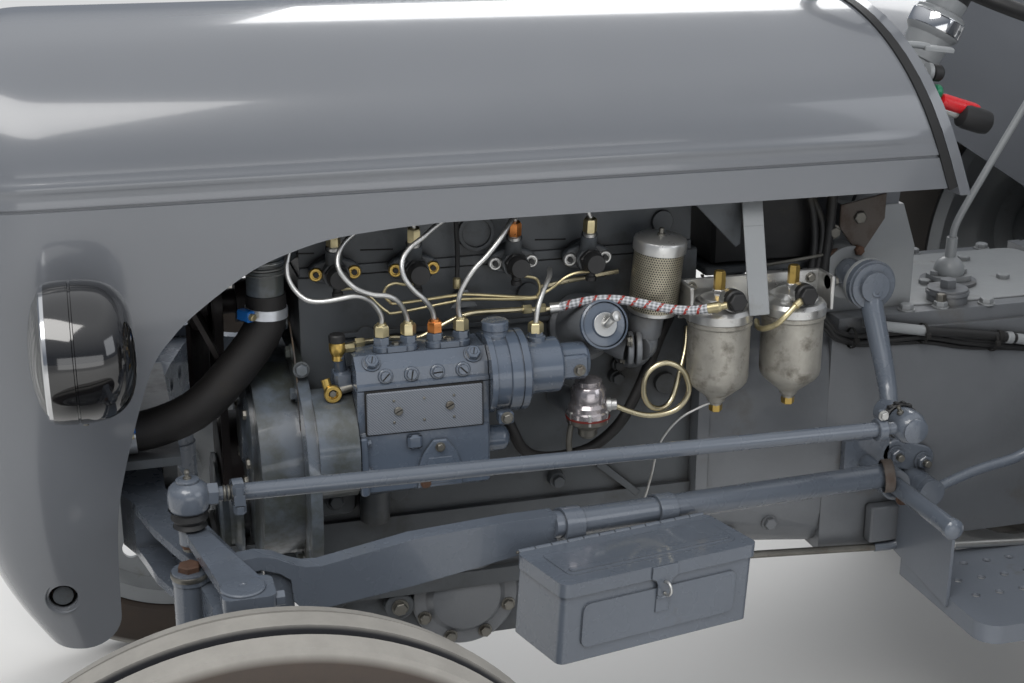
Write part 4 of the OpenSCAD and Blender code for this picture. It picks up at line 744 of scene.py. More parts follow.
for side in (-1, 1):
    s = Shape("headlamp_" + ("left" if side < 0 else "right"))
    p, d, r = (LAMP_X, side * LAMP_Y, LAMP_Z), REAR, LAMP_R
    s.turn(p, d, [(0, -18), (20, -17.2), (38, -14.6), (54, -10), (64, -4.5), (67.5, 0), (68, 4)], M.glass, 48,
        caps=False)
    s.turn(p, d, [(0, 34), (24, 30), (44, 22), (58, 11), (66, 2), (67, 0.5)], M.chrome, 48, caps=False)
    s.turn(p, d, [(66.5, -1), (70, -2.6), (72.5, -1), (73.5, 3), (71, 5)], M.chrome, 48, caps=False)
    shell = [(75.5 * max(0.0, math.cos(a)) ** 0.62, 46 + 46 * math.sin(a)) for a in quarter(11)]
    s.turn(p, d, [(71, 2), (74.5, 3), (76.4, 12), (r, 24), (r, 27.2), (75.8, 28), (75.8, 29.6), (r, 30.4),
        (76.6, 42)] + shell, M.black, 56)
    s.turn((LAMP_X + 34, side * LAMP_Y, LAMP_Z - r - 1), DOWN, [(5, -3), (5, 1.5), (3, 2), (3, 5), (0, 5)],
        M.dull_steel, 12)
    s.rod([(-120, side * y, LAMP_Z) for y in (LAMP_Y - 66, half_w(LAMP_Z) - 1)], 13, M.black, 20)
    s.made("bonnet", replaces=("headlamps",) if side < 0 else (), slot="black_paint")


# Cooling side: clamps on the lower hose, thermostat elbow and pipe stub

cool = Shape("hose_clamps")


def clamp(s, p, d, r, at):
    """Worm clamp: steel band, blue housing and screw at an angle round the hose"""
    d, u, w = square(d)
    p = Vector(p)
    s.turn(p - d * 6, d, [(r, 0), (r + 1.2, 0), (r + 1.2, 12), (r, 12)], M.band, 36)
    out = u * math.cos(at) + w * math.sin(at)
    side = d.cross(out)
    c = p + out * (r + 6)
    s.beam([c - side * 11, c + side * 7], d * 6.5, out * 5.5, M.blue_plastic, 1.5)
    s.hexa(c + side * 7, side, 4.6, 6, M.zinc)


clamp(cool, (-84, -150, 706), (1, 0, 0.05), 24.3, math.radians(60))
clamp(cool, (84, -158, 846), (0.05, 0, 1), 24.3, math.radians(215))
cool.turn((84, -158, 867.5), UP, [(22.2, 0), (22.2, 26), (24, 27), (24, 31), (22.4, 32), (22.4, 37), (25, 38),
    (25, 43), (22.5, 44), (22.5, 60)], M.oily, 36)
for a in range(3):
    cool.turn((84, -158, 893 + a * 7), UP, [(24.4, 0), (25.2, 1), (24.4, 2)], M.steel, 36)
cool.made("chassis", slot="zinc")


# Injection pump in detail

s = Shape("injection_pump_detail")
g = M.pump
s.box((172, -262, 640), (331, -190, 718), g, 3)
s.box((172, -259, 714), (331, -190, 769.4), g, 1.2)
top = [(-259, 770), (-259, 775), (-255, 777), (-253, 792), (-239, 806.5), (-192, 806.5), (-190, 804),
    (-190, 770)]
s.rings([[Vector((x, y, z)) for y, z in top] for x in (172.5, 330.5)], g)
# Near-black box just larger than the milled cover: a painted shadow line round it
s.box((180.5, -262.5, 714.5), (322.5, -256, 769.2), M.cavity, 0.3)
s.box((182, -265, 716), (321, -257, 768), M.hatch, 1.2)
for x in (219, 281):
    s.screw((x, -265, 744 if x < 250 else 745), LEFT, 5.2, M.dull_steel, (1, 0, 0.5))
for x in (214, 250, 286):
    for z in (730, 757):
        s.turn((x, -265, z), LEFT, cap(1.7, 0.7, 1.2, 1.2, -0.5), M.dull_steel, 10)
face = Vector((0, -0.99, 0.12))
for i, x in enumerate((207, 238, 269, 300)):
    s.turn((x, -254, 784), face, cap(9, 1, 8, 1.8, -2), g, 24)
    s.screw(Vector((x, -254, 784)) + face * 1.6, face, 6.2, g, ((1, 0, 1), (0.2, 0, 1), (1, 0, 0.05),
        (1, 0, -1))[i])
for x in (192, 314):
    s.bolt((x, -246, 799), (0, -0.7, 0.7), 8.8, g)
    s.screw((x, -251, 804), (0, -0.7, 0.7), 4.6, g, (0.2, 0, 1))
for i in range(4):
    x = 209 + 32 * i
    p = Vector((x, -226, 803))
    s.turn(p, UP, [(11, 0), (11, 10), (9.4, 11), (9.4, 13)], g, 24)
    s.hexa(p + Vector((0, 0, 13)), UP, 10.4, 8, g, 0.2 + i)
    s.turn(p + Vector((0, 0, 20)), UP, [(7.6, 0), (7.6, 4)], g, 20)
    nut = M.copper if i == 2 else M.zinc
    s.hexa(p + Vector((0, 0, 22)), UP, 9.4, 13, nut, 0.5 + i * 0.4)
    s.turn(p + Vector((0, 0, 34.5)), UP, [(6.2, 0), (5.4, 3), (0, 3)], nut, 20)
for x in (225, 289):
    s.box((x - 12, -238, 806), (x + 12, -214, 814), g, 1)
    s.turn((x, -228, 814), UP, cap(5, 2, 4, 2.6, -0.5), M.dull_steel, 6)
# governor, its cover seams and end housing along X
d = REAR
s.turn((331, -226, 768), d, [(50, 0), (50, 7), (47.5, 8), (47.5, 24), (50, 25), (50, 38), (48.6, 38.3),
    (48.6, 39.6), (50, 40), (50, 48), (46, 51), (0, 51)], g, 56)
s.turn((381, -226, 770), d, cap(34, 42, 31, 45), g, 44)
s.turn((424, -226, 772), d, cap(23, 34, 20, 38), g, 36)
s.box((416, -252, 757), (458, -226, 786), g, 3)
s.bolt((446, -252, 768), LEFT, 6, M.dull_steel)
s.turn((347, -226, 812), UP, [(17, -6), (17, 5), (15.5, 6), (15.5, 9), (16.5, 10), (16.5, 19), (15, 20.5),
    (0, 20.5)], g, 36)
s.turn((398, -226, 796), UP, [(12, 0), (12, 12), (9.4, 13)], g, 24)
s.hexa((398, -226, 808), UP, 9.6, 6, g)
s.hexa((398, -226, 813), UP, 9.6, 12, M.zinc, 0.7)
s.box((338, -279, 718), (356, -262, 733), g, 2)
s.bolt((347, -279, 727), LEFT, 6, M.dull_steel)
end = [(16 * math.cos(a), 20 + 12 * math.sin(a)) for a in quarter(6)]
s.turn((331, -232, 684), d, [(16, 0), (16, 20)] + end, g, 32)
# inspection plate on the cam box, its stud, boss and drain
s.plate([(-27, 0), (27, 0), (26, 28), (20, 44), (8, 60), (-8, 60), (-20, 44), (-26, 28)], (268, -262, 643),
    REAR, UP, 5, g, 1.6)
s.plate([(-20, 5), (20, 5), (19, 26), (14, 38), (-14, 38), (-19, 26)], (268, -266.5, 643), REAR, UP, 1.4, g,
    0.6)
s.bolt((268, -267, 694), LEFT, 4.8, M.dull_steel)
s.box((172, -268, 640), (182, -258, 714), g, 2)
s.bolt((182, -262, 668), REAR, 6.5, g)
s.bolt((182, -262, 706), REAR, 4.5, g)
s.box((229, -268, 694), (247, -262, 712), g, 3)
s.screw((210, -262, 660), LEFT, 4, g)
s.turn((250, -262, 650), LEFT, cap(8, 4, 6, 6, -1), M.rust, 20)
# front bleed banjo and its tap
s.rod([(163, -212, 772), (160, -218, 790), (157, -225, 806)], 7.5, g, 20)
s.box((152, -226, 756), (175, -196, 784), g, 4)
s.turn((156, -226, 800), UP, [(6.4, 0), (6.4, 6), (8, 8), (9.4, 12), (9.4, 20), (8, 23), (0, 23)], M.brass)
s.turn((156, -226, 822), UP, [(9, 0), (9.8, 1), (9.8, 8), (8, 10), (0, 10)], M.matt_black, 24)
s.hexa((165, -222, 812), (1, 0.2, 0), 5.6, 12, M.zinc)
s.turn((148, -229, 761), LEFT, [(9, 0), (10.6, 2), (10.6, 6), (9.6, 7.4), (6, 7.4), (6, 3), (0, 3)], M.brass)
s.turn((148, -226, 761), LEFT, cap(5.2, 7, 4, 8.4), M.dull_steel, 6)
s.rod([(141, -222, 776), (144, -226, 764)], 5.4, M.brass, 16)
s.rod([(152, -224, 760), (172, -222, 764)], 5.6, M.dull_steel, 16)
s.made("chassis", replaces=("injection_pump",), slot="pump_grey")


# Injectors, high pressure pipes and leak-off lines

s = Shape("injectors_detail")
dark = M.engine
spots = ((166, 890), (262, 888), (386, 887), (482, 885))
for i, (x, z) in enumerate(spots):
    stud = M.brass if i < 2 else M.bright_alloy
    s.turn((x, -141, z - 1), LEFT, [(19, 0), (19, 12), (16, 14), (16, 40)], dark, 32)
    s.plate([(-29, -8), (-22, -13), (-10, -15), (10, -15), (22, -13), (29, -8), (30, 4), (24, 10), (11, 15),
        (-11, 15), (-24, 10), (-30, 4)], (x, -158, z + 1), REAR, UP, 11, dark, 2)
    for side in (-1, 1):
        p = (x + side * 23, -167, z - 1)
        s.turn(p, LEFT, [(8.4, 0), (8.4, 3), (7.2, 4.4), (5.4, 4.4), (5.2, 2.2), (0, 2.2)], stud, 24)
        s.turn(p, LEFT, disc(3.4, 6), M.matt_black, 12)
    s.hexa((x, -179, z), LEFT, 15, 10, M.matt_black)
    s.turn((x, -188, z), LEFT, cap(12.6, 14, 11.4, 17), M.matt_black, 32)
    s.rod([(x - 1, -172, z + 10), (x - 3, -184, z + 34)], 10, dark, 20)
    s.turn((x - 3, -184, z + 32), (-0.03, -0.2, 1), [(8, 0), (8, 4), (6.4, 5), (6.4, 8)], M.steel, 20)
    s.hexa((x - 3.3, -185.6, z + 38), (-0.03, -0.2, 1), 8.6, 17, M.copper if i == 2 else M.zinc, 0.3 * i)
    s.turn((x, -182, z - 12), (0, -0.1, -1), [(5.5, 0), (5.5, 8), (6.8, 9), (6.8, 14), (0, 14)], M.matt_black,
        16)
    s.rod([(x - 60, -141.6, z + 20), (x - 20, -141.6, z + 18)], 1.2, M.cavity, 6)
s.made("chassis", replaces=("injectors",), slot="engine_paint")

pipes = Shape("fuel_pipes")
high = ([(209, -226, 836), (209, -227, 850), (199, -230, 867), (186, -236, 877), (173, -237, 879),
    (157, -237, 877), (138, -235, 875), (123, -230, 877), (112, -223, 886), (105, -216, 899),
    (104, -210, 912), (106, -206, 921), (113, -198, 938), (130, -190, 950), (150, -187, 953),
    (161, -187, 950), (163, -187, 940)], [(241, -226, 836), (238, -228, 850), (228, -236, 868),
    (215, -240, 877), (198, -240, 880), (181, -239, 887), (170, -234, 896), (162, -229, 908),
    (161, -222, 919), (166, -214, 930), (178, -206, 941), (205, -198, 956), (235, -192, 964),
    (254, -188, 956), (259, -187, 942)], [(273, -226, 836), (270, -228, 851), (260, -235, 867),
    (247, -237, 880), (237, -236, 894), (234, -232, 906), (237, -226, 917), (247, -219, 927),
    (264, -213, 937), (290, -205, 953), (340, -198, 972), (420, -192, 976), (466, -188, 962),
    (479, -187, 940)], [(305, -226, 836), (302, -227, 850), (302, -232, 867), (308, -232, 881),
    (321, -231, 899), (337, -228, 913), (356, -220, 931), (372, -205, 946), (381, -190, 948),
    (383, -187, 942)])
for p in high:
    pipes.rod(p, 3.1, M.steel)
pipes.rod([(257, -184, 872), (246, -184, 873), (235, -183, 875), (225, -183, 871), (222, -182, 862),
    (228, -181, 853), (239, -180, 849), (305, -180, 853), (327, -180, 853), (404, -180, 843),
    (414, -181, 846), (416, -183, 856), (411, -184, 867), (398, -184, 871), (386, -184, 872)], 1.9, M.zinc, 8,
    5)
pipes.rod([(166, -184, 872), (180, -184, 873), (196, -182, 869), (215, -180, 849), (225, -180, 840),
    (236, -180, 837), (303, -180, 845), (327, -180, 847), (404, -180, 841), (421, -181, 847),
    (432, -182, 853), (449, -184, 866), (465, -185, 871), (482, -185, 871)], 1.9, M.zinc, 8, 5)
pipes.rod([(170, -207, 810), (186, -200, 810), (223, -192, 810), (244, -190, 808), (260, -190, 807),
    (273, -190, 811), (300, -190, 824), (322, -190, 831), (345, -190, 832), (388, -190, 831),
    (413, -190, 829), (432, -192, 830)], 3.4, M.feed, 12, 5)
for x in (182, 392, 410):
    pipes.hexa((x, -199 if x < 200 else -190, 810 if x < 200 else 831), REAR, 6.2, 11, M.zinc, 0.2)
pipes.rod([(398, -226, 820), (399, -226, 832), (403, -222, 846), (412, -212, 860), (424, -196, 872),
    (430, -178, 876)], 3.2, M.steel, 12, 5)
pipes.rod([(420, -168, 851), (470, -165, 857), (525, -162, 862)], 3.2, M.feed, 10, 4)
pipes.plate([(0, 0), (34, 0), (22, 22), (12, 22)], (304, -176, 836), REAR, UP, 3, M.engine, 0.5)
pipes.rod([(317, -160, 862), (318, -160, 900), (316, -160, 960)], 3.0, M.matt_black, 8, 3)
pipes.turn((317, -160, 856), UP, [(5, 0), (5, 12), (3, 14)], M.zinc, 12)
pipes.made("chassis", slot="zinc")

braid = Shape("braided_hose")
braid_way = [(436, -192, 830), (452, -200, 836), (479, -210, 842), (506, -220, 843), (533, -232, 839),
    (559, -247, 835), (584, -262, 835), (602, -275, 840)]
braid.rod(braid_way, 5.6, M.braid, 18, 6, uv=lambda k, run: (k * 2, run / 22))
braid.turn((427, -190, 829.5), (1, -0.2, 0.1), [(6.8, 0), (6.8, 12), (5.2, 14), (5.2, 18)], M.steel, 20)
braid.turn((601, -274.5, 839.6), (0.8, -0.5, 0.24), [(6.4, 0), (6.4, 14), (4.4, 17), (4.4, 24), (0, 24)],
    M.zinc, 20)
braid.made("chassis", slot="black_hose")


# Fuel filters

s = Shape("fuel_filters_detail")
for k, x in enumerate((634, 734)):
    y = -235
    s.turn((x, y, 0), UP, [(0, 696), (7, 696), (8, 702), (11, 704), (12, 708), (15, 711), (33, 726),
        (37.4, 732), (39, 739), (39, 806), (41, 808), (41, 812), (38, 814)], M.alloy, 56)
    s.hexa((x, y, 699), DOWN, 8.5, 9, M.brass)
    s.turn((x, y, 0), UP, [(39, 812), (41.5, 814), (41.5, 824), (38, 829), (26, 834), (24, 841), (14, 845),
        (0, 846)], M.bright_alloy, 48)
    s.box((x - 26, y - 22, 824), (x + 26, y + 22, 840), M.bright_alloy, 4)
    s.hexa((x - 1, y, 844), UP, 9.5, 7, M.bright_alloy)
    s.hexa((x - 2, y, 850), UP, 7.6, 24, M.brass, 0.4)
    s.turn((x + 14, y - 10, 838), UP, [(8, 0), (8, 4), (5, 5), (5, 8), (0, 8)], M.copper if k else M.zinc, 20)
    p = Vector((x + 2 if k == 0 else x - 4, y - 34, 846))
    s.turn(p + Vector((0, 12, -2)), (0, -1, 0.05), [(14, 0), (14, 14), (11, 16)], M.bright_alloy)
    s.turn(p, (0, -1, 0.05), [(11.5, -3), (13.5, -1), (13.5, 8), (11.5, 10)], M.matt_black)
    s.hexa(p + Vector((0, -9, 0.5)), (0, -1, 0.05), 11.8, 9, M.matt_black, 0.5)
# bracket plate with folded ends, and its bolts
s.box((592, -203, 806), (788, -197, 856), M.bright_alloy, 1)
for x in (592, 783):
    s.box((x, -240, 812), (x + 5, -199, 856), M.bright_alloy, 1)
s.turn((783, -228, 846), REAR, disc(9, 8), M.engine, 20)
s.bolt((791, -228, 846), REAR, 6, M.dull_steel)
for x in (608, 772):
    s.bolt((x, -203, 846), LEFT, 5.6, M.dull_steel)
    s.box((x - 8, -198, 812), (x + 8, -142.3, 828), M.engine, 1.5)
s.rod([(728, -276, 842), (716, -279, 836), (702, -281, 824), (692, -276, 812), (683, -262, 803),
    (682, -245, 800), (688, -228, 802)], 3.6, M.zinc)
s.turn((724, -278, 841), (-0.85, -0.2, -0.5), disc(5, 12), M.zinc, 14)
s.rod([(634, -235, 694), (628, -234, 700), (612, -231, 694), (590, -228, 682), (572, -223, 660),
    (563, -219, 637), (558, -214, 600), (552, -205, 560)], 1.6, M.steel, 8, 5)
s.made("chassis", replaces=("fuel_filters",), slot="bare_alloy")


# Breather with its perforated can

s = Shape("breather_detail")
d = Vector((0.13, -0.09, 1)).normalized()
p = Vector((554, -195, 818))
low = Vector((560, -195, 820))
up = Vector((0.055, -0.09, 1)).normalized()
s.turn(low, up, [(31, 0), (31, 78)], M.perforated, 48, uv=lambda k, i: (k * 60 / 48, i * 26.0))
s.turn(low + up * 77, up, [(31, 0), (33.2, 1), (33.2, 13), (32, 16), (29, 18), (6, 20), (0, 20)],
    M.bright_alloy, 48)
s.turn(low + up * 97, up, [(5, -1), (5, 2), (3, 3), (3, 9), (0, 9)], M.dull_steel, 16)
s.turn(low - up * 3, up, [(20, 0), (31.5, 1), (31.5, 5), (30, 6)], M.bright_alloy, 48)
s.turn(p - d * 32, d, [(21, 0), (22, 3), (22, 28), (24, 30), (20, 32)], M.casting, 40)
s.rod([p - d * 30, p - d * 44 + Vector((0, 2, 0)), (545, -184, 760), (544, -160, 750), (544, -141, 750)], 18,
    M.casting, 24, 6)
for x in (523, 533):
    s.turn((x, -206 - (x - 523) * 0.3, 774), (1, -0.25, 0), [(20, 0), (21.5, 1), (21.5, 6), (20, 7.4)],
        M.casting, 32)
for y, z in ((-222, 788), (-196, 757)):
    s.bolt((523, y, z), (-1, 0.2, 0), 6, M.dull_steel)
s.rod([(540, -209, 773), (549, -202, 773), (553, -196, 784)], 15, M.casting, 24, 5)
# round drum beside it, its face with a pale boss and a stud
back, face = Vector((482, -146, 788)), Vector((484, -230, 816))
out = unit(face - back)
s.turn(back, out, [(44, 0), (44, 9), (38, 13), (33, 40), (30, 84), (28.4, 87), (25, 88), (0, 88)], M.casting,
    52)
s.turn(face, out, [(29.4, -4), (30.6, -3), (30.6, 2), (28, 3)], M.pump, 52, caps=False)
s.turn(face + out * 0.6, out, [(28, 0), (16.5, 2), (15.5, 4.5), (0, 5.5)], M.pump, 44)
s.turn(face + out * 4, out, [(15.4, 0), (14.6, 1.4), (0, 2)], M.bright_alloy, 36)
s.rod([face + out * 5, face + out * 12, face + out * 16 + Vector((8, 0, 9))], 4.4, M.bright_alloy, 16, 4)
s.turn(face + out * 16 + Vector((8, 0, 9)), (0.3, -0.8, 0.4), [(5, -4), (6.4, -2), (6.4, 4), (4.4, 5),
    (0, 5)], M.bright_alloy, 20)
s.rod([(505, -190, 782), (516, -200, 776), (524, -206, 774)], 16, M.casting, 24, 4)
for x, z in ((534, 733), (448, 770)):
    s.bolt((x, -150, z), LEFT, 8, M.engine)
s.made("chassis", replaces=("breather",), slot="zinc")


# Fuel lift pump, its looped pipe and the drain hose

s = Shape("lift_pump")
c = Vector((469, -218, 700))
s.turn(c, UP, [(25, -6), (27, -4), (27, 2), (25, 4), (25, 10), (22, 14), (22, 30), (19, 35), (17, 36),
    (17, 42), (12, 45), (0, 46)], M.bowl, 40)
s.turn(c, UP, [(26.5, -6.6), (28, -6.4), (28, -5), (26.5, -4.8)], M.gasket, 40)
s.turn(c, DOWN, [(27, 6), (27, 12), (20, 16), (12, 22), (12, 30), (8, 34), (0, 34)], M.dull_steel, 36)
for k in range(6):
    a = pi * k / 3 + 0.3
    p = c + Vector((math.cos(a) * 24, math.sin(a) * 24, -3))
    s.turn(p, UP, cap(3.4, 6, 2.5, 7, -8), M.steel, 12)
s.rod([(462, -215, 705), (455, -190, 706), (452, -150, 700)], 16, M.casting, 20)
s.turn((491, -222, 708), (1, -0.2, 0), [(9, 0), (9, 6), (7, 7), (7, 13), (5, 14)], M.steel, 20)
s.rod([(500, -224, 708), (517, -228, 700), (541, -231, 692), (565, -233, 692), (585, -235, 700),
    (596, -237, 721), (588, -238, 747), (569, -239, 761), (551, -239, 760), (537, -238, 746),
    (536, -236, 721), (548, -232, 703), (566, -227, 698), (580, -222, 708), (591, -216, 738),
    (602, -205, 765), (610, -190, 790)], 3.5, M.feed, 14, 6)
s.rod([(604, -160, 815), (590, -172, 795), (577, -180, 776), (560, -188, 742), (540, -191, 700),
    (518, -194, 667), (482, -197, 642), (442, -200, 636), (407, -205, 641), (386, -210, 657),
    (374, -212, 680), (366, -205, 700)], 7.2, M.hose, 16, 6)
s.rod([(448, -212, 640), (446, -214, 665), (450, -214, 690)], 4, M.dull_steel, 10)
s.made("chassis", slot="bare_alloy")


# Timing case: bolts round the cover, a stained joint and the pump gear's cover

def oval_point(cy, cz, half_h, half_w, power, a):
    c, s = math.cos(a), math.sin(a)
    y = cy + half_w * math.copysign(abs(c) ** (2 / power), c)
    z = cz + half_h * math.copysign(abs(s) ** (2 / power), s)
    return y, z


s = Shape("timing_details")
for k in range(18):
    y, z = oval_point(-66, 640, 190, 137, 2.5, 2 * pi * (k + 0.5) / 18)
    s.bolt((111, y, z), FRONT, 8, M.oily)
joint = []
for x, grow in ((110.4, 0), (110.4, 1.2), (112.4, 1.2), (112.4, 0)):
    joint.append([Vector((x, *oval_point(-70, 640, 205 + grow, 145 + grow, 2.6, a))) for a in turns(72)])
s.rings(joint, M.stain, caps=False)
s.turn((61, -112, 676), FRONT, [(72, -1), (72, 5), (66, 8), (40, 9), (34, 13), (0, 14)], M.oily, 48)
for a in turns(6, 0.3):
    s.bolt((55, -112 + 60 * math.cos(a), 676 + 60 * math.sin(a)), FRONT, 6.5, M.dull_steel)
s.bolt((117, -197, 782), (0, -1, 0.1), 8, M.oily)
s.turn((20, 0, 530), REAR, [(70, 0), (74, 1), (74, 5), (66, 14), (66, 18), (74, 27), (74, 31), (70, 32),
    (46, 32), (46, 41), (0, 41)], M.oily, 56)
# studs under the pump and a lug on the drive housing
s.turn((236, -150, 431), LEFT, cap(19, 8, 16, 10, -8), M.engine)
s.bolt((236, -160, 431), LEFT, 9, M.dull_steel)
s.turn((206, -170, 598), (0, -0.2, 1), [(19, -34), (19, 14), (15, 18), (15, 22), (6, 23), (6, 44), (0, 45)],
    M.engine, 32)
s.hexa((206, -174, 618), (0, -0.2, 1), 13, 9, M.dull_steel)
s.plate(rounded(54, 40, 14), (158, -147, 590), REAR, (0, 0.1, 1), 9, M.engine, 2)
s.bolt((158, -156, 590), LEFT, 9.5, M.engine)
s.made("chassis", slot="engine_paint")


# Round cover low on the sump, with a raised face and a ring of bolts

s = Shape("sump_cover")
p = Vector((327, -139, 430))
d = Vector(LEFT)
s.turn(p, d, [(72, 0), (72, 7), (70, 9), (54, 9), (50, 12), (46, 17), (40, 19), (0, 20)], M.casting, 64)
for k in range(8):
    a = pi / 4 * (k + 0.55)
    q = p + Vector((62 * math.cos(a), -9, 62 * math.sin(a)))
    s.bolt(q, d, 7.5, M.dull_steel)
for x in (160, 236, 420, 500, 580):
    s.bolt((x, -151, 448), DOWN, 7, M.engine)
    s.bolt((x + 20, 151, 448), DOWN, 7, M.engine)
s.bolt((600, 0, 405), DOWN, 13, M.dull_steel)
s.made("chassis", slot="engine_paint")


# Wiring along the gearbox, clipped and tied

s = Shape("wiring")
low = [(800, -150, 786), (813, -156, 774), (826, -158, 762), (838, -158, 748), (857, -157, 739),
    (877, -156, 734), (919, -155, 733), (977, -155, 731), (1036, -155, 718), (1081, -155, 711),
    (1132, -155, 704), (1215, -155, 690), (1262, -152, 676), (1290, -148, 660)]
for k, (dy, dz, r) in enumerate(((0, 0, 4.2), (-1.5, 8, 3.6), (4, -6, 3.2))):
    s.rod([Vector(p) + Vector((0, dy, dz + 1.5 * math.sin(i + 2 * k))) for i, p in enumerate(low)], r,
        M.matt_black, 10, 4)
top = [(880, -158, 762), (909, -160, 755), (941, -161, 749), (972, -161, 743), (1011, -161, 737),
    (1051, -161, 731), (1090, -160, 724), (1115, -160, 719), (1200, -159, 703), (1290, -156, 684)]
s.rod(top[:4], 7.2, M.pale, 16, 4)
s.rod(top[3:8], 6.4, M.matt_black, 16, 4)
s.rod(top[7:], 7.6, M.pale, 16, 4)
s.turn((1086, -160, 725), (1, 0, -0.17), [(7.6, 0), (8.4, 1), (8.4, 7), (7.6, 8)], M.cavity, 20)
s.turn((1100, -160, 722), (1, 0, -0.17), [(7.4, 0), (8.6, 1), (8.6, 9), (7.4, 10)], M.pale, 20)
for x, z in ((968, 739), (1078, 718), (860, 742)):
    s.turn((x, -158, z), (1, 0, -0.1), [(13.4, 0), (14.4, 0.4), (14.4, 3.8), (13.4, 4.2)], M.cavity, 20,
        caps=False)
    s.box((x - 1, -175, z - 4), (x + 6, -169, z + 4), M.cavity, 1)
s.made("chassis", slot="black_paint")


# Bolts and a breather stud on the gearbox's top plate

s = Shape("box_top_bolts")
# The top plate and its bolts take the paler grey, lighter than the box's sides: painted sunlight on the
# gearbox's top
for x, y in ((1046, -30), (1171, -35), (1010, -132), (958, -131), (1080, -135), (1160, -132), (1240, -130),
        (1046, 60), (1171, 70), (1010, 132), (1120, 132), (1240, 130), (958, 131)):
    s.bolt((x, y, 765), UP, 9.5, M.pale)
s.plate(rounded(330, 236, 26), (1125, 0, 764.5), REAR, (0, 1, 0), 3, M.pale, 1)
s.hexa((1010, -132, 772), UP, 7, 12, M.dull_steel)
for y in (-150.5, 150.5):
    out = (0, -1 if y < 0 else 1, 0)
    for x, z in ((700, 470), (700, 700), (760, 480), (1290, 470), (1290, 560), (1290, 650)):
        s.bolt((x, y, z), out, 9, M.casting)
s.made("chassis", slot="grey_enamel")


# Steering drop arms, drag links and knuckles: boots, caps, grease nipples and nuts

def nipple(s, p, d):
    s.turn(p, d, [(4.4, -1), (4.4, 2), (2.4, 3), (2.4, 6), (3.2, 7), (2.4, 10), (0, 10.6)], M.dull_steel, 12)


s = link = Shape("link_details")
s.turn((-33, -375, 677.5), UP, [(14, 0), (18.6, 3), (16.2, 7.5), (20.4, 13), (18.4, 19), (22, 22.5)],
    M.matt_black, 36, caps=False)
s.turn((-33, -375, 733), UP, [(12.4, -1.5), (12.4, 0.6), (10.5, 1.2), (0, 1.4)], M.blue)
nipple(s, (-33, -375, 734), UP)
s.turn((862, -284.5, 675), LEFT, [(16, 0), (20.5, 2), (22.4, 5), (19.6, 8), (23, 11.5), (21, 14)],
    M.matt_black, 36, caps=False)
for a in turns(14):
    x, z = 862 + 22 * math.cos(a), 675 + 22 * math.sin(a)
    s.box((x - 2.6, -297, z - 2.6), (x + 2.6, -289, z + 2.6), M.matt_black, 0.8)
s.turn((862, -337.2, 675), LEFT, [(16.4, -1.4), (16.4, 0.4), (15, 1.2), (0, 1.4)], M.blue, 32)
nipple(s, (862 - 12, -316, 675 + 19), (-0.4, 0, 1))
s.turn((816, -318, 675), REAR, [(13.8, 0), (14.8, 1), (14.8, 11), (13.8, 12)], M.blue)
s.box((818, -322, 688), (828, -314, 701), M.blue, 1.5)
s.bolt((823, -322, 695), LEFT, 5.4, M.steel)
for k in range(5):
    s.turn((-3 + 6 + k * 4.4, -374, 712.4), (1, 0.05, -0.04), [(8, 0), (8.9, 1.2), (8.9, 2.2), (8, 3.4)],
        M.dull_steel, 20, caps=False)

s = arm = Shape("arm_details")
s.turn((859, -192, 829), LEFT, [(33.4, 0), (33.4, 6), (31, 8), (31, 11), (28.5, 12), (28.5, 15)], M.pale, 48,
    caps=False)
# Near-black ring inside the collar: painted shade in its bore
s.turn((859, -205, 829), LEFT, [(27.6, 0), (27.6, 4), (25, 5)], M.cavity, 40, caps=False)
s.turn((861, -216.5, 823), (0, -1, 0.3), [(7.5, -1), (7.5, 1.6), (4, 2), (3.4, -1), (0, -1)], M.blue, 20)

s = knuckle = Shape("knuckle_details")
s.turn((5, -530, 677.2), UP, [(22.5, -2), (22.5, 1.4), (21, 2.6), (4, 3), (3, 1.6), (0, 1.6)], M.blue, 36)
s.rod([(-33, -375, 662), (-33, -375, 652)], 10, M.dull_steel, 20)
s.hexa((-33, -375, 665), DOWN, 13, 10, M.rust)

for end, mirror in (("_left", False), ("_right", True)):
    for piece, body in ((link, "drag_link"), (arm, "drop_arm"), (knuckle, "knuckle")):
        piece.made(body + end, slot="grey_enamel", mirror=mirror)


# Radius rods: rusty nuts, collars and oval flanges; clutch linkage below

s = Shape("rod_details")
s.turn((-40, -428, 641), UP, [(19.4, 5), (20, 6), (20, 10), (19.4, 11)], M.dull_steel, 32, caps=False)
s.hexa((-40, -428, 653.5), UP, 12.4, 7, M.rust)
s.turn((876, -241, 573), Vector((0.96, -0.27, 0.1)), [(21.6, 0), (22.4, 1), (22.4, 13), (21.4, 14)],
    M.rust_plate, 32, caps=False)
s.bolt((901, -256, 547), (0.2, -1, -0.1), 9.5, M.rust)
s.plate(rounded(84, 40, 19), (962, -150, 560), (1, 0, -0.32), (0.32, 0, 1), 12, M.blue, 2)
for x, z in ((941, 566), (984, 552)):
    s.bolt((x, -163, z), LEFT, 10.5, M.blue)
    s.turn((x, -172, z), LEFT, cap(5.4, 8, 4.4, 9), M.dull_steel, 16)
s.rod([(640, -165, 447), (739, -165, 441), (918, -165, 428)], 5.2, M.dull_steel, 12, 3)
s.box((907, -171, 437), (950, -152, 491), M.casting, 2)
s.rod([(918, -165, 428), (940, -168, 429), (952, -170, 432)], 6.5, M.blue, 12, 3)
s.rod([(1030, -190, 428), (1146, -190, 418), (1240, -190, 410)], 5.4, M.steel, 12, 3)
s.made("chassis", slot="grey_enamel")


# Toolbox: piano hinge, staple and hasp

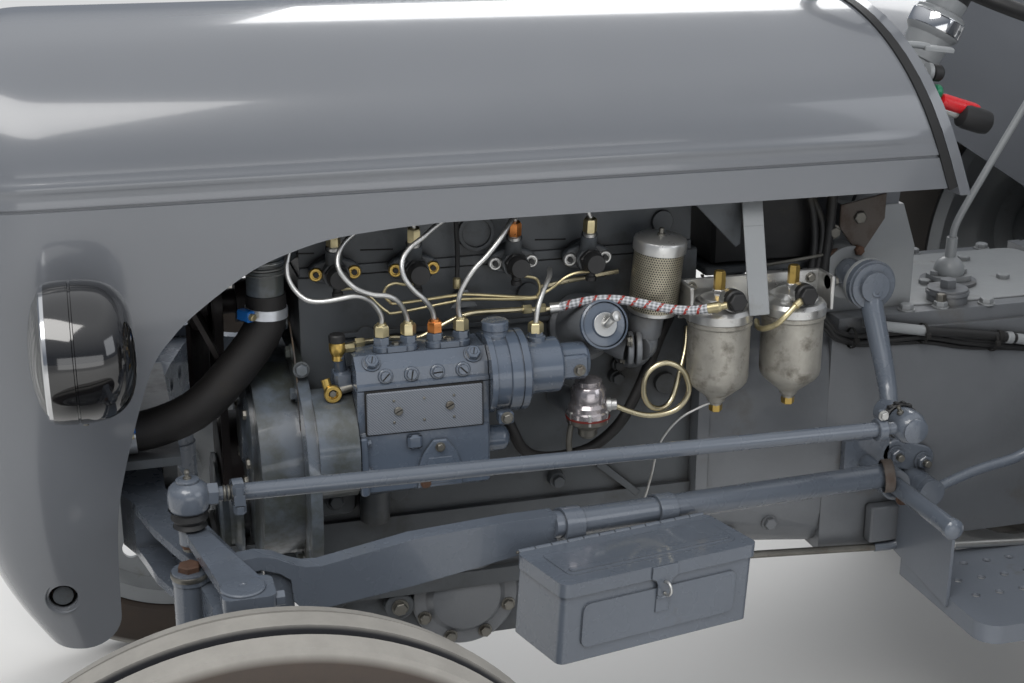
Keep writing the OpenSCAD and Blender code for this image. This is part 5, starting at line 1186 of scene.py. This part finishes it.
TOOL_CORNER = Vector((316, -423, 622))
TOOL_TURN = Matrix.Rotation(math.radians(15.9), 3, "Z") @ Matrix.Rotation(math.radians(3.9), 3, "Y")
TOOL_L, TOOL_D = 270, 98


def on_box(x, y, z):
    return TOOL_CORNER + TOOL_TURN @ Vector((x, y, z))


def along(x, y, z):
    return TOOL_TURN @ Vector((x, y, z))


s = Shape("toolbox_hinge")
step = (TOOL_L - 6) / 12
for k in range(12):
    a = 3 + k * step
    s.turn(on_box(a + 0.5, 0, 0.6), along(1, 0, 0), [(2.6, 0), (3.3, 0.5), (3.3, step - 1.5),
        (2.6, step - 1)], M.blue, 14)
s.turn(on_box(1, 0, 0.6), along(1, 0, 0), [(1.6, 0), (1.6, TOOL_L - 2)], M.dull_steel, 10)
ring = []
for a in (pi * (0.35 + 1.3 * k / 8) for k in range(9)):
    ring.append(on_box(TOOL_L / 2, -TOOL_D - 6.5 + 7.5 * math.cos(a), -25 + 7.5 * math.sin(a)))
s.rod(ring, 1.9, M.steel, 10, 2)
s.made("chassis", slot="grey_enamel")


s = Shape("toolbox_hasp")
outline = [(-18, 1), (18, 1), (18, -13), (12, -16), (9, -21), (9, -33), (6, -36), (-6, -36), (-9, -33),
    (-9, -21), (-12, -16), (-18, -13)]
s.plate(outline, on_box(TOOL_L / 2, -TOOL_D - 0.2, 0), along(1, 0, 0), along(0, 0, 1), 2.2, M.blue, 0.5)
s.plate(rounded(18, 6, 2), on_box(TOOL_L / 2, -TOOL_D - 1.5, -35), along(1, 0, 0), along(0, -0.5, -0.8), 2,
    M.blue, 0.4)
s.made("toolbox_lid", slot="grey_enamel")


# Controls behind the bonnet: lever, knobs and a gripped handle, and the column's bright collar

s = Shape("dash_controls")
s.rod([(900, -150, 1130), (930, -150, 1128), (946, -150, 1125)], 4.5, M.pale, 12, 3)
s.plate([(0, -6), (12, -8), (40, -6), (42, 0), (40, 6), (12, 8), (0, 6)], (938, -150, 1122),
    (1, -0.12, -0.12), (0, 1, 0.1), 6, M.pale, 1.5)
s.turn((905, -150, 1098), (1, 0, -0.12), [(10, 0), (10, 3), (5, 4), (5, 40), (12, 41), (12, 47), (5, 49)],
    M.pale, 24)
s.turn((953, -150, 1092), (1, 0, -0.12), [(8, 0), (11, 2), (11, 12), (9, 15), (0, 15)], M.matt_black, 24)
s.turn((918, -150, 1071), (1, 0, -0.1), [(4, 0), (4, 40), (10, 42), (10, 48), (8, 51), (0, 51)], M.green, 24)
s.rod([(925, -150, 1058), (960, -150, 1047), (1000, -151, 1034)], 5.5, M.steel, 14, 3)
red = Vector((968, -152, 1056))
way = Vector((0.95, -0.02, -0.3))
s.turn(red, way, [(5, 0), (9, 2), (10, 6), (10, 52), (9, 58), (5, 62), (0, 62)], M.red, 24)
s.turn((998, -156, 1036), way, [(9, -2), (15, 1), (16.5, 8), (16.5, 34), (15, 42), (10, 46), (0, 47)],
    M.matt_black, 28)
foot = Vector((926, 0, 900))
lift = Vector((math.cos(math.radians(63)), 0, math.sin(math.radians(63))))
s.turn(foot + lift * 210, lift, [(27, 0), (28.5, 1), (29, 4), (32, 34), (37, 40), (38, 43), (38, 62),
    (36.5, 65), (35, 66), (35, 70), (30, 72)], M.pale, 48, caps=False)
s.turn(foot + lift * 253, lift, [(38.3, 0), (38.6, 1), (38.6, 19), (38.3, 20)], M.chrome, 48, caps=False)
for y in (-90, 90):
    s.turn((936, y, 1070), (1, 0, -0.4), [(38, -3), (40.5, -2), (40.5, 2), (38, 3.4), (36, 2)], M.chrome, 40,
        caps=False)
s.made("chassis", slot="grey_enamel")


# Behind the engine: battery on its tray, cables, strap, fuel line and the throttle rod with its bracket

s = Shape("behind_engine")
s.box((676, -108, 842), (828, 108, 996), M.matt_black, 5)
s.box((672, -112, 990), (832, 112, 1004), M.matt_black, 4)
s.box((664, -116, 832), (836, 116, 843), M.engine, 2)
for y in (-96, 96):
    for x in (700, 800):
        s.beam([(x, y, 765), (x, y, 834)], (14, 0, 0), (0, 3, 0), M.engine, 0.6)
for x in (700, 804):
    s.turn((x, -60, 1002), UP, cap(11, 12, 9, 14), M.dull_steel, 20)
s.rod([(804, -60, 1012), (826, -90, 1010), (838, -118, 985), (836, -128, 930), (830, -134, 870),
    (822, -140, 800)], 7, M.matt_black, 14, 5)
s.rod([(760, -120, 1000), (800, -126, 940), (812, -130, 880), (806, -136, 820), (800, -146, 786)], 5.5,
    M.matt_black, 12, 5)
s.rod([(780, -118, 1000), (790, -124, 960), (822, -128, 900), (818, -134, 840), (806, -142, 800)], 4.5,
    M.matt_black, 12, 5)
# strap and the triangular plate that it hangs from
s.beam([(683, -205, 962), (680, -222, 925)], (13.5, 0, 0), (0, 1.6, 0.4), M.pale, 0.4)
s.beam([(680, -222, 925), (672, -268, 824)], (13.5, 0, 0), (0, 1.6, 0.6), M.pale, 0.6)
s.plate([(0, 0), (70, 0), (70, -62), (64, -66)], (604, -196, 958), REAR, UP, 3, M.engine, 0.6)
s.rod([(716, -150, 965), (717, -150, 930), (718, -152, 900)], 2.4, M.feed, 10, 3)
s.turn((718, -152, 880), UP, [(4, 0), (6, 2), (6, 9), (4.4, 11), (4.4, 18), (3, 20)], M.zinc, 16)
s.hexa((718, -152, 886), UP, 7.4, 6, M.zinc)
# throttle rod, its rusty end and the bracket plate
s.rod([(720, -140, 846), (830, -136, 855)], 2.6, M.dull_steel, 10)
s.rod([(826, -136, 855), (874, -135, 859)], 5.4, M.rust, 14)
s.hexa((872, -140, 859), LEFT, 7, 8, M.rust)
s.plate([(0, 0), (20, -26), (34, -40), (66, 8), (66, 42), (0, 30)], (846, -131, 890), REAR, UP, 4,
    M.rust_plate, 0.8)
s.bolt((874, -131, 902), LEFT, 9, M.dull_steel)
s.bolt((838, -132, 884), LEFT, 8, M.dull_steel)
s.made("chassis", slot="black_paint")


# Floor, light and world

BACKDROP = (0.86, 0.87, 0.88, 1)
WORLD_LEVEL = 0.8
FLOOR_HALF = 40
FADE = (1.9, 4.2)


def flat_floor():
    """Pale floor that turns into the backdrop far out, for the camera only"""
    r = FLOOR_HALF
    mesh = bpy.data.meshes.new("floor")
    mesh.from_pydata([(-r, -r, 0), (r, -r, 0), (r, r, 0), (-r, r, 0)], [], [(0, 1, 2, 3)])
    obj = bpy.data.objects.new("floor", mesh)
    bpy.context.scene.collection.objects.link(obj)
    s = Nodes("pale_floor")
    mesh.materials.append(s.set(Base_Color=s.mix(s.noise(0.6, 2.0), rgb(214, 213, 210), rgb(224, 223, 221)),
                                Roughness=0.9))
    far = s.node("VectorMath", operation="LENGTH")
    s.put(s.coord, far.inputs[0])
    fade = s.node("MapRange", interpolation_type="SMOOTHSTEP", Value=far.outputs["Value"], From_Min=FADE[0],
                  From_Max=FADE[1])
    both = s.node("MixShader")
    glow = s.node("Emission", Color=BACKDROP, Strength=WORLD_LEVEL)
    s.put(s.mul(s.node("LightPath").outputs["Is Camera Ray"], fade.outputs["Result"]), both.inputs[0])
    s.put(s.shader.outputs[0], both.inputs[1])
    s.put(glow.outputs[0], both.inputs[2])
    s.put(both.outputs[0], s.tree.nodes["Material Output"].inputs["Surface"])


def area(name, place, target, size, power, colour=(1, 1, 1)):
    light = bpy.data.lights.new(name, "AREA")
    light.shape = "RECTANGLE"
    light.size, light.size_y = size
    light.energy = power
    light.color = colour
    obj = bpy.data.objects.new(name, light)
    obj.location = place
    obj.rotation_euler = (Vector(target) - Vector(place)).to_track_quat("-Z", "Y").to_euler()
    bpy.context.scene.collection.objects.link(obj)


def sky():
    """Soft dome for light and reflections, and a plain backdrop for the camera and through glass"""
    world = bpy.data.worlds.new("studio")
    bpy.context.scene.world = world
    world.use_nodes = True
    s = Nodes("studio", world.node_tree)
    height = s.parts(s.node("TexCoord").outputs["Generated"])[2]
    dome = s.ramp(height, [(0.2, (0.25, 0.275, 0.32, 1)), (0.8, (1.05, 1.07, 1.1, 1))])
    path = s.node("LightPath").outputs
    seen = s.math("MAXIMUM", path["Is Camera Ray"], path["Is Transmission Ray"])
    back = world.node_tree.nodes["Background"]
    s.put(s.mix(seen, dome, BACKDROP), back.inputs["Color"])
    back.inputs["Strength"].default_value = WORLD_LEVEL


flat_floor()
area("key", (-2.2, -2.6, 4.2), (-0.3, 0, 0.7), (3.0, 2.2), 118, (1.0, 0.98, 0.95))
area("fill", (2.8, -3.2, 2.2), (0, 0, 0.7), (2.6, 2.0), 30, (0.93, 0.96, 1.0))
area("back", (1.0, 3.6, 3.4), (0, 0, 0.8), (3.0, 2.0), 85)
area("low", (-0.6, -4.2, 0.9), (-0.4, 0, 0.6), (3.4, 1.2), 18)
sky()
bpy.context.scene.view_settings.view_transform = "Standard"


# Materials of the carried-over nodes

BOTH = ("left", "right")
look_of = {
    "enamel": ["grille", "dash", "seat", "fenders"],
    "blue": ["front_axle", "radius_rods", "pedals", "toolbox", "toolbox_lid", "lift_arms", "lower_links",
             *(f"{name}_{side}" for name in ("knuckle", "drop_arm", "drag_link") for side in BOTH)],
    "engine": ["engine_block", "cylinder_head", "front_support"],
    "casting": ["gearbox", "rear_axle", "lift_cover"],
    "pale": ["steering_box", "gear_lever",
             *(f"{end}_rim_{side}" for end in ("front", "rear") for side in BOTH)],
    "matt_black": ["fuel_tank", "steering_wheel"],
    "front_tyre": ["front_tyre_left", "front_tyre_right"],
    "rear_tyre": ["rear_tyre_left", "rear_tyre_right"],
    "core": ["radiator"], "hose": ["hoses"], "fan": ["fan"], "oily": ["timing_case"], "manifold": ["exhaust"],
    "sheet": ["footrests"], "dull_steel": ["lift_rods"],
}
SHALLOW = 34


def smooth_normals(mesh):
    """Shades a carried-over mesh smooth across shallow edges, with its points left as they are"""
    polys = mesh.polygons
    near = {}
    keys = [tuple(round(c * 20000) for c in v.co) for v in mesh.vertices]
    for p in polys:
        for v in p.vertices:
            near.setdefault(keys[v], []).append(p.index)
    flat = [p.normal.copy() for p in polys]
    size = [p.area for p in polys]
    least = math.cos(math.radians(SHALLOW))
    normals = []
    for p in polys:
        for v in p.vertices:
            total = Vector((0, 0, 0))
            for q in near[keys[v]]:
                if flat[p.index].dot(flat[q]) > least:
                    total += flat[q] * size[q]
            normals.append(unit(total) if total.length > 1e-12 else flat[p.index])
    polys.foreach_set("use_smooth", [True] * len(polys))
    mesh.normals_split_custom_set(normals)


for look, names in look_of.items():
    for name in names:
        mesh = nodes[name].data
        mesh.materials.clear()
        mesh.materials.append(getattr(M, look))
        smooth_normals(mesh)
